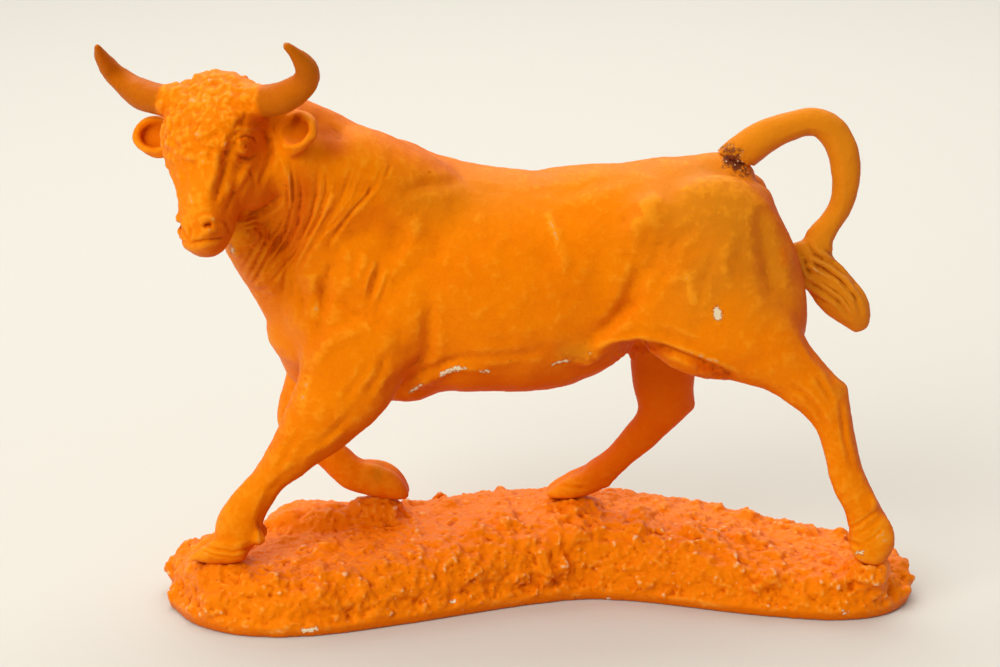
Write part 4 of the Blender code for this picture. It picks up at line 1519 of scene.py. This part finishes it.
@dataclass
class BullSkin:
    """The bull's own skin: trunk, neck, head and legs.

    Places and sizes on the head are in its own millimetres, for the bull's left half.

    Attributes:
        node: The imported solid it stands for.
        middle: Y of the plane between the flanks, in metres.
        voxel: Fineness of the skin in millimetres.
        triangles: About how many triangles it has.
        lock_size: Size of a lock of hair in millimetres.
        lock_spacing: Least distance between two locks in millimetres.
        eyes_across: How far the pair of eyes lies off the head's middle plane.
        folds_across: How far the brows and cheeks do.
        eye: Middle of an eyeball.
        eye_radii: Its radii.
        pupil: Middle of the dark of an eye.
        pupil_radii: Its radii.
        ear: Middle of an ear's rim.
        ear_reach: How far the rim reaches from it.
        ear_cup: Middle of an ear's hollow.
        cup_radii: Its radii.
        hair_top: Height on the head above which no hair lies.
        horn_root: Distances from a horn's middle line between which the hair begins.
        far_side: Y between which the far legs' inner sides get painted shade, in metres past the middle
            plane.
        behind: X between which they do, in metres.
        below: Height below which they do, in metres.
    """

    node: str = "bull"
    middle: float = EYE_TARGET.y
    voxel: float = 0.85
    triangles: int = 192000
    lock_size: float = 2.9
    lock_spacing: float = 6.4
    eyes_across: float = -3.5
    folds_across: float = -3.0
    eye: tuple[float, ...] = (26.5, -12.0, -36.0)
    eye_radii: tuple[float, ...] = (3.2, 3.0, 3.8)
    pupil: tuple[float, ...] = (30.4, -11.5, -35.5)
    pupil_radii: tuple[float, ...] = (2.2, 1.5, 1.6)
    ear: tuple[float, ...] = (47.5, -15.5, -26.0)
    ear_reach: tuple[float, ...] = (13.0, 2.0, 10.5)
    ear_cup: tuple[float, ...] = (47.0, -15.0, -26.0)
    cup_radii: tuple[float, ...] = (12.0, 9.0, 10.0)
    hair_top: float = 30.0
    horn_root: tuple[float, float] = (10.5, 13.0)
    far_side: tuple[float, float] = (3 * MM, 12 * MM)
    behind: tuple[float, float] = (0.02, 0.05)
    below: tuple[float, float] = (0.175, 0.135)

    def masses(self) -> bmesh.types.BMesh:
        """Eyes, brows, cheeks, horns and the rims of the ears.

        Returns:
            Closed shapes in metres.
        """
        made = Masses(FACE.matrix())
        for side in SIDES:
            x, y, z = self.eye
            made.ball((x * side + self.eyes_across, y, z), self.eye_radii)
            for rows in (BROW_ROWS, CHEEK_ROWS):
                made.cord([(x * side + self.folds_across, y, z, r) for x, y, z, r in rows])
        made.matrix = CROWN.matrix()
        for side in SIDES:
            made.cord([(x * side, y, z, r) for x, y, z, r in HORN_ROWS], sides=20)
            made.cord(self.ear_rim(side))
        return made.done()

    def ear_rim(self, side: float) -> list[tuple[float, ...]]:
        """The rim of an ear, a bar bent round its cup.

        Args:
            side: 1 for the bull's left ear, -1 for its right.

        Returns:
            X, Y, Z and radius at each point along it.
        """
        back = EAR_SET_BACK if side > 0.0 else (0.0, 0.0, 0.0)
        rows = []
        for step in range(11):
            angle = math.radians(-130.0 + 26.0 * step)
            round_it = (math.cos(angle), math.cos(angle), math.sin(angle))
            x, y, z = (m + reach * share for m, reach, share in zip(self.ear, self.ear_reach, round_it))
            thick = 1.7 + 1.1 * math.cos(0.6 * angle)
            rows.append((x * side + back[0], y + back[1], z + back[2], thick))
        return rows

    def horn_distance(self, points: np.ndarray) -> np.ndarray:
        """How far points are from the middle line of the nearer horn.

        Args:
            points: Points of the part's frame.

        Returns:
            A distance in the head's millimetres for each.
        """
        place = CROWN.inside(points)
        place[:, 0] = np.abs(place[:, 0])
        return distance_to_path(place, [row[:3] for row in HORN_ROWS[2:]])

    def lock_cover(self, skin: Skin) -> np.ndarray:
        """How thickly the locks of hair lie on the forehead and poll.

        Args:
            skin: The skin that they lie on.

        Returns:
            A share of 0 to 1 for each vertex.
        """
        place = FACE.inside(skin.points())
        across = np.abs(place[:, 0] - FACE.middle_line(place))
        brow = smoothstep(place[:, 1], -5.0, 1.0) * smoothstep(place[:, 2], -62.0, -40.0)
        top = smoothstep(place[:, 2], -8.0, 0.0) * smoothstep(place[:, 1], -30.0, -22.0)
        hair = np.maximum(brow, top) * smoothstep(across, 33.0, 26.0)
        hair *= smoothstep(self.horn_distance(skin.points()), *self.horn_root) * (place[:, 2] < self.hair_top)
        return hair * smoothstep(skin.lumps(260.0), -0.3, 0.2)

    def matted(self, skin: Skin) -> np.ndarray:
        """How strongly the head is matted with short hair.

        Args:
            skin: The skin.

        Returns:
            A share of 0 to 1 for each vertex.
        """
        place = FACE.inside(skin.points())
        down = 0.35 + 0.65 * smoothstep(place[:, 2], -62.0, -42.0)
        hair = smoothstep(place[:, 1], -8.0, -2.0) * down
        hair *= (place[:, 2] < self.hair_top) * (place[:, 2] > -100.0)
        clear_of_horns = smoothstep(self.horn_distance(skin.points()), *self.horn_root)
        return hair * (clear_of_horns * smoothstep(np.abs(place[:, 0]), 40.0, 34.0))

    def wear_and_hollow_shade(self, skin: Skin, sheet: Sheet) -> np.ndarray:
        """How far the skin stands proud, as rubbing finds it and as painted shade fills its hollows.

        Args:
            skin: The skin.
            sheet: The sheet that worn patches and patches of painted shade are drawn on.

        Returns:
            Millimetres for each vertex, less in the eyes and ears, where painted shade goes, and more where
            it is worn.
        """
        points = skin.points()
        relief = skin.relief(4) * 2.3 + skin.relief(14) * 0.4
        in_face = FACE.inside(points)
        # Sunk in the pupils, the ear cups and the patches of painted shade, so that painted shade lies there
        for side in SIDES:
            x, y, z = self.pupil
            pupil = (in_face - (x * side + self.eyes_across, y, z)) / self.pupil_radii
            relief -= 1.1 * smoothstep(np.linalg.norm(pupil, axis=1), 1.5, 0.6)
        in_crown = CROWN.inside(points)
        in_crown -= np.where(in_crown[:, :1] > 0.0, np.array(EAR_SET_BACK), 0.0)
        in_crown[:, 0] = np.abs(in_crown[:, 0])
        cup = np.linalg.norm((in_crown - self.ear_cup) / self.cup_radii, axis=1)
        relief -= 0.8 * smoothstep(cup, 1.1, 0.7)
        relief -= 1.2 * skin.patch_strength(sheet, HOLLOW_SHADE_MARKS, self.middle)
        broken = np.clip(0.5 + 1.4 * skin.lumps(420.0), 0.0, 1.2)
        relief += 1.5 * broken * skin.patch_strength(sheet, WORN_MARKS, self.middle)
        return np.clip(relief, -1.15, 1.5)

    def painted_shade(self, skin: Skin, sheet: Sheet) -> np.ndarray:
        """Where painted shade lies: on the side turned from the light, on the far legs' inner sides and in
        the patches of painted shade.

        Args:
            skin: The skin.
            sheet: The sheet that the patches of painted shade are drawn on.

        Returns:
            A strength for each vertex.
        """
        across, away, up = skin.points().T
        under = smoothstep(away, *(self.middle + past for past in self.far_side))
        under *= smoothstep(across, *self.behind)
        under *= smoothstep(up, *self.below)
        shaded = np.maximum(skin.turned_from_light(), 0.9 * under)
        for marks in (SHADED_MARKS, HOLLOW_SHADE_MARKS):
            shaded = np.maximum(shaded, skin.patch_strength(sheet, marks))
        return shaded

    def build(self, sheet: Sheet, finish: bpy.types.Material) -> Skin:
        """Models the skin.

        Args:
            sheet: The sheet its marks are drawn on.
            finish: Its material.

        Returns:
            The skin, carved and marked.
        """
        skin = Skin.from_node(self.node, "bull_skin").subdivide().add(self.masses())
        skin.fuse(1.2, 0.8)
        sizes = {"Spacing": self.lock_spacing, "Size": self.lock_size, "Sink": 0.5, "Least": 0.5, "Most": 1.3}
        LOCKS.over(skin, finish, self.lock_cover(skin), 5, **sizes)
        skin.fuse(self.voxel, 0.8)
        hair = self.matted(skin)
        skin.roughen(7.0, 1.5, 12.2, hair).roughen(3.8, 1.1, 1.2, hair).roughen(2.1, 0.5, 4.9, hair)
        skin.carve(sheet, BULL_MARKS, self.middle)
        skin.roughen(2.6, 0.9, 2.9, skin.patch_strength(sheet, GLAZE_MARKS, self.middle + 15 * MM))
        rough = skin.patch_strength(sheet, ROUGH_MARKS)
        skin.roughen(4.2, 1.3, 7.7, rough).roughen(2.0, 0.6, 3.3, rough)
        skin.roughen(18.0, 0.9, 6.3).roughen(7.0, 0.32, 3.1).roughen(2.4, 0.16, 8.7)
        skin.thin(self.triangles).keep_in(CAD_BOX)
        skin.mark("proud", self.wear_and_hollow_shade(skin, sheet))
        # Painted shade, for the finish to read
        skin.mark("shaded", self.painted_shade(skin, sheet))
        skin.mark("horn", smoothstep(self.horn_distance(skin.points()), 12.5, 10.5))
        skin.mark("aged", skin.patch_strength(sheet, OCHRE_MARKS, self.middle + 0.05))
        skin.mark("chip", skin.patch_strength(sheet, CHIP_MARKS, self.middle))
        skin.mark("resin", skin.patch_strength(sheet, GLAZE_MARKS, self.middle + 15 * MM))
        return skin


@dataclass
class Tail:
    """The tail, cast on its own and let into the rump.

    Attributes:
        node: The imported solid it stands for.
        middle: Y of the plane between its sides, in metres.
        voxel: Fineness of its skin in millimetres.
        triangles: About how many triangles it has at most.
    """

    node: str = "tail"
    middle: float = EYE_TARGET.y + 0.004
    voxel: float = 0.7
    triangles: int = 80000

    def build(self, sheet: Sheet) -> Skin:
        """Models the tail.

        Args:
            sheet: The sheet its marks are drawn on.

        Returns:
            The skin, marked.
        """
        skin = Skin.from_node(self.node, "tail_loop").subdivide()
        skin.fuse(self.voxel, 0.6)
        skin.carve(sheet, TAIL_MARKS + TAIL_FINE, self.middle)
        skin.roughen(2.4, 1.2, 5.9, skin.patch_strength(sheet, GLAZE_MARKS))
        skin.roughen(7.0, 0.25, 1.7).roughen(2.2, 0.10, 6.3)
        skin.thin(self.triangles).keep_in(CAD_BOX)
        skin.mark("proud", np.clip(skin.relief(5) * 2.2 + skin.relief(30) * 0.4, -1.5, 1.5))
        # Painted shade on the side turned from the key light
        skin.mark("shaded", skin.turned_from_light())
        skin.mark("resin", skin.patch_strength(sheet, GLAZE_MARKS))
        skin.leave("aged", "chip", "horn")
        return skin


@dataclass
class GroundBase:
    """The rough ground that the bull strides over.

    Attributes:
        node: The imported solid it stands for.
        voxel: Fineness of its skin in millimetres.
        triangles: About how many triangles it has.
        rim: Height of the smooth rim at its foot in millimetres.
        clod: Size of a clod in millimetres.
        spacing: Least distance between two clods in millimetres.
        flat: Height under which its underside is pressed flat, in metres.
    """

    node: str = "ground_base"
    voxel: float = 1.0
    triangles: int = 190000
    rim: float = 6.0
    clod: float = 2.1
    spacing: float = 2.9
    flat: float = 0.4 * MM

    def crumble(self, skin: Skin, finish: bpy.types.Material) -> None:
        """Strews patches of clods over the soil.

        Args:
            skin: The ground's skin.
            finish: Its material.
        """
        height, facing = skin.points()[:, 2] / MM, skin.normals()[:, 2]
        loose = smoothstep(height, self.rim - 1.0, self.rim + 2.0)
        skin.roughen(17.0, 1.6, 5.5, loose).roughen(8.0, 1.3, 9.5, loose)
        soil = loose * (facing > -0.5) * smoothstep(skin.lumps(90.0), -0.35, 0.25)
        sizes = {"Spacing": self.spacing, "Size": self.clod, "Sink": 1.0, "Least": 0.4, "Most": 1.5}
        CLODS.over(skin, finish, soil, 9, **sizes)

    def build(self, sheet: Sheet, finish: bpy.types.Material) -> Skin:
        """Models the ground.

        Args:
            sheet: The sheet its chips are drawn on.
            finish: Its material.

        Returns:
            The skin, marked.
        """
        skin = Skin.from_node(self.node, "ground")
        skin.fuse(1.4, 1.2)
        self.crumble(skin, finish)
        skin.fuse(self.voxel, 0.6)
        loose = smoothstep(skin.points()[:, 2] / MM, self.rim - 2.0, self.rim + 2.0)
        skin.roughen(6.5, 1.5, 2.2, loose).roughen(3.6, 1.0, 6.1, loose).roughen(2.0, 0.4, 4.4, loose)
        skin.roughen(3.0, 0.15, 7.1)
        points = skin.points()
        points[:, 2] = np.where(points[:, 2] < self.flat, 0.0, points[:, 2])
        skin.put(points).thin(self.triangles).keep_in(CAD_BOX)
        height = skin.points()[:, 2] / MM
        uneven = 0.75 + 0.9 * skin.lumps(120.0)
        proud = (skin.relief(2) * 1.3 + skin.relief(6) * 1.0) * uneven + skin.relief(24) * 0.12
        proud = np.where(height < self.rim - 3.0, np.minimum(proud, 0.1), proud)
        skin.mark("proud", np.clip(proud, -1.5, 1.5))
        # Painted shade on the side turned from the key light, at six tenths of its strength
        skin.mark("shaded", 0.6 * skin.turned_from_light())
        skin.mark("aged", smoothstep(height, self.rim, self.rim - 2.5))
        skin.mark("chip", skin.patch_strength(sheet, RIM_CHIPS))
        skin.leave("horn", "resin")
        return skin


@dataclass
class Studio:
    """The pale floor and soft light round the piece.

    Attributes:
        floor_half: Half the floor's side in metres.
        floor_colour: Its colour.
        floor_drop: How far it lies under the piece, in metres.
        sky_colour: Colour of the light from all round.
        sky_strength: Its strength.
        lamp_colour: Colour of the lamps.
        aim: What the key and the top lamp shine at.
        key_power: Power of the key lamp in watts.
        key_size: Its side in metres.
        top_share: Power of the top lamp, as a share of the key's.
        backdrop_share: Power of the lamp over the floor behind, as a share of the key's.
    """

    floor_half: float = 9.0
    floor_colour: tuple[float, ...] = (0.635, 0.62, 0.565, 1.0)
    floor_drop: float = 0.0002
    sky_colour: tuple[float, ...] = (1.0, 0.985, 0.95, 1.0)
    sky_strength: float = 0.46
    lamp_colour: tuple[float, ...] = (1.0, 0.97, 0.92)
    aim: tuple[float, ...] = (0.0, 0.0, 0.15)
    key_power: float = 54.0
    key_size: float = 1.7
    top_share: float = 0.28
    backdrop_share: float = 1.75

    def build(self) -> None:
        """Lays the floor and sets the lights."""
        self.floor()
        world = bpy.data.worlds.new("studio")
        bpy.context.scene.world = world
        world.use_nodes = True
        background = world.node_tree.nodes["Background"]
        background.inputs[0].default_value = self.sky_colour
        background.inputs[1].default_value = self.sky_strength
        top_power, backdrop_power = self.top_share * self.key_power, self.backdrop_share * self.key_power
        self.lamp("key", (-1.5, -1.9, 1.9), self.aim, self.key_power, self.key_size)
        self.lamp("top", (-0.2, 0.3, 2.4), self.aim, top_power, 1.8)
        self.lamp("backdrop", (0.0, 2.5, 2.6), (0.0, 2.5, 0.0), backdrop_power, 4.2)
        bpy.context.scene.view_settings.view_transform = "Standard"

    def floor(self) -> None:
        """Lays the floor."""
        mesh = bpy.data.meshes.new("floor")
        h = self.floor_half
        mesh.from_pydata([(-h, -h, 0), (h, -h, 0), (h, h, 0), (-h, h, 0)], [], [(0, 1, 2, 3)])
        floor = bpy.data.objects.new("floor", mesh)
        bpy.context.scene.collection.objects.link(floor)
        floor.location.z = -self.floor_drop
        paper = bpy.data.materials.new("paper")
        paper.use_nodes = True
        shader = paper.node_tree.nodes["Principled BSDF"]
        shader.inputs["Base Color"].default_value = self.floor_colour
        shader.inputs["Roughness"].default_value = 0.9
        mesh.materials.append(paper)

    def lamp(
        self, name: str, place: Sequence[float], aim: Sequence[float], power: float, size: float
    ) -> None:
        """Hangs a soft square light.

        Args:
            name: Its name.
            place: Where it hangs.
            aim: What it shines at.
            power: Its power in watts.
            size: The length of its side.
        """
        data = bpy.data.lights.new(name, "AREA")
        data.energy, data.size = power, size
        data.color = self.lamp_colour
        made = bpy.data.objects.new(name, data)
        bpy.context.scene.collection.objects.link(made)
        made.location = place
        made.rotation_euler = (Vector(aim) - Vector(place)).to_track_quat("-Z", "Y").to_euler()


def main() -> None:
    """Builds and dresses every piece in order."""
    logging.basicConfig(level=logging.INFO, format="%(name)s %(message)s")
    sheet = Sheet()
    sheet.camera()
    Studio().build()
    bull_paint, tail_paint, soil_paint = (f.material() for f in (BULL_PAINT, TAIL_PAINT, SOIL_PAINT))
    bull = BullSkin()
    bull.build(sheet, bull_paint).finish("bull_skin", bull_paint, bull.node)
    tail = Tail()
    tail.build(sheet).finish("tail_loop", tail_paint, tail.node)
    ground = GroundBase()
    ground.build(sheet, soil_paint).finish("ground", soil_paint, ground.node)


if __name__ == "__main__":
    main()
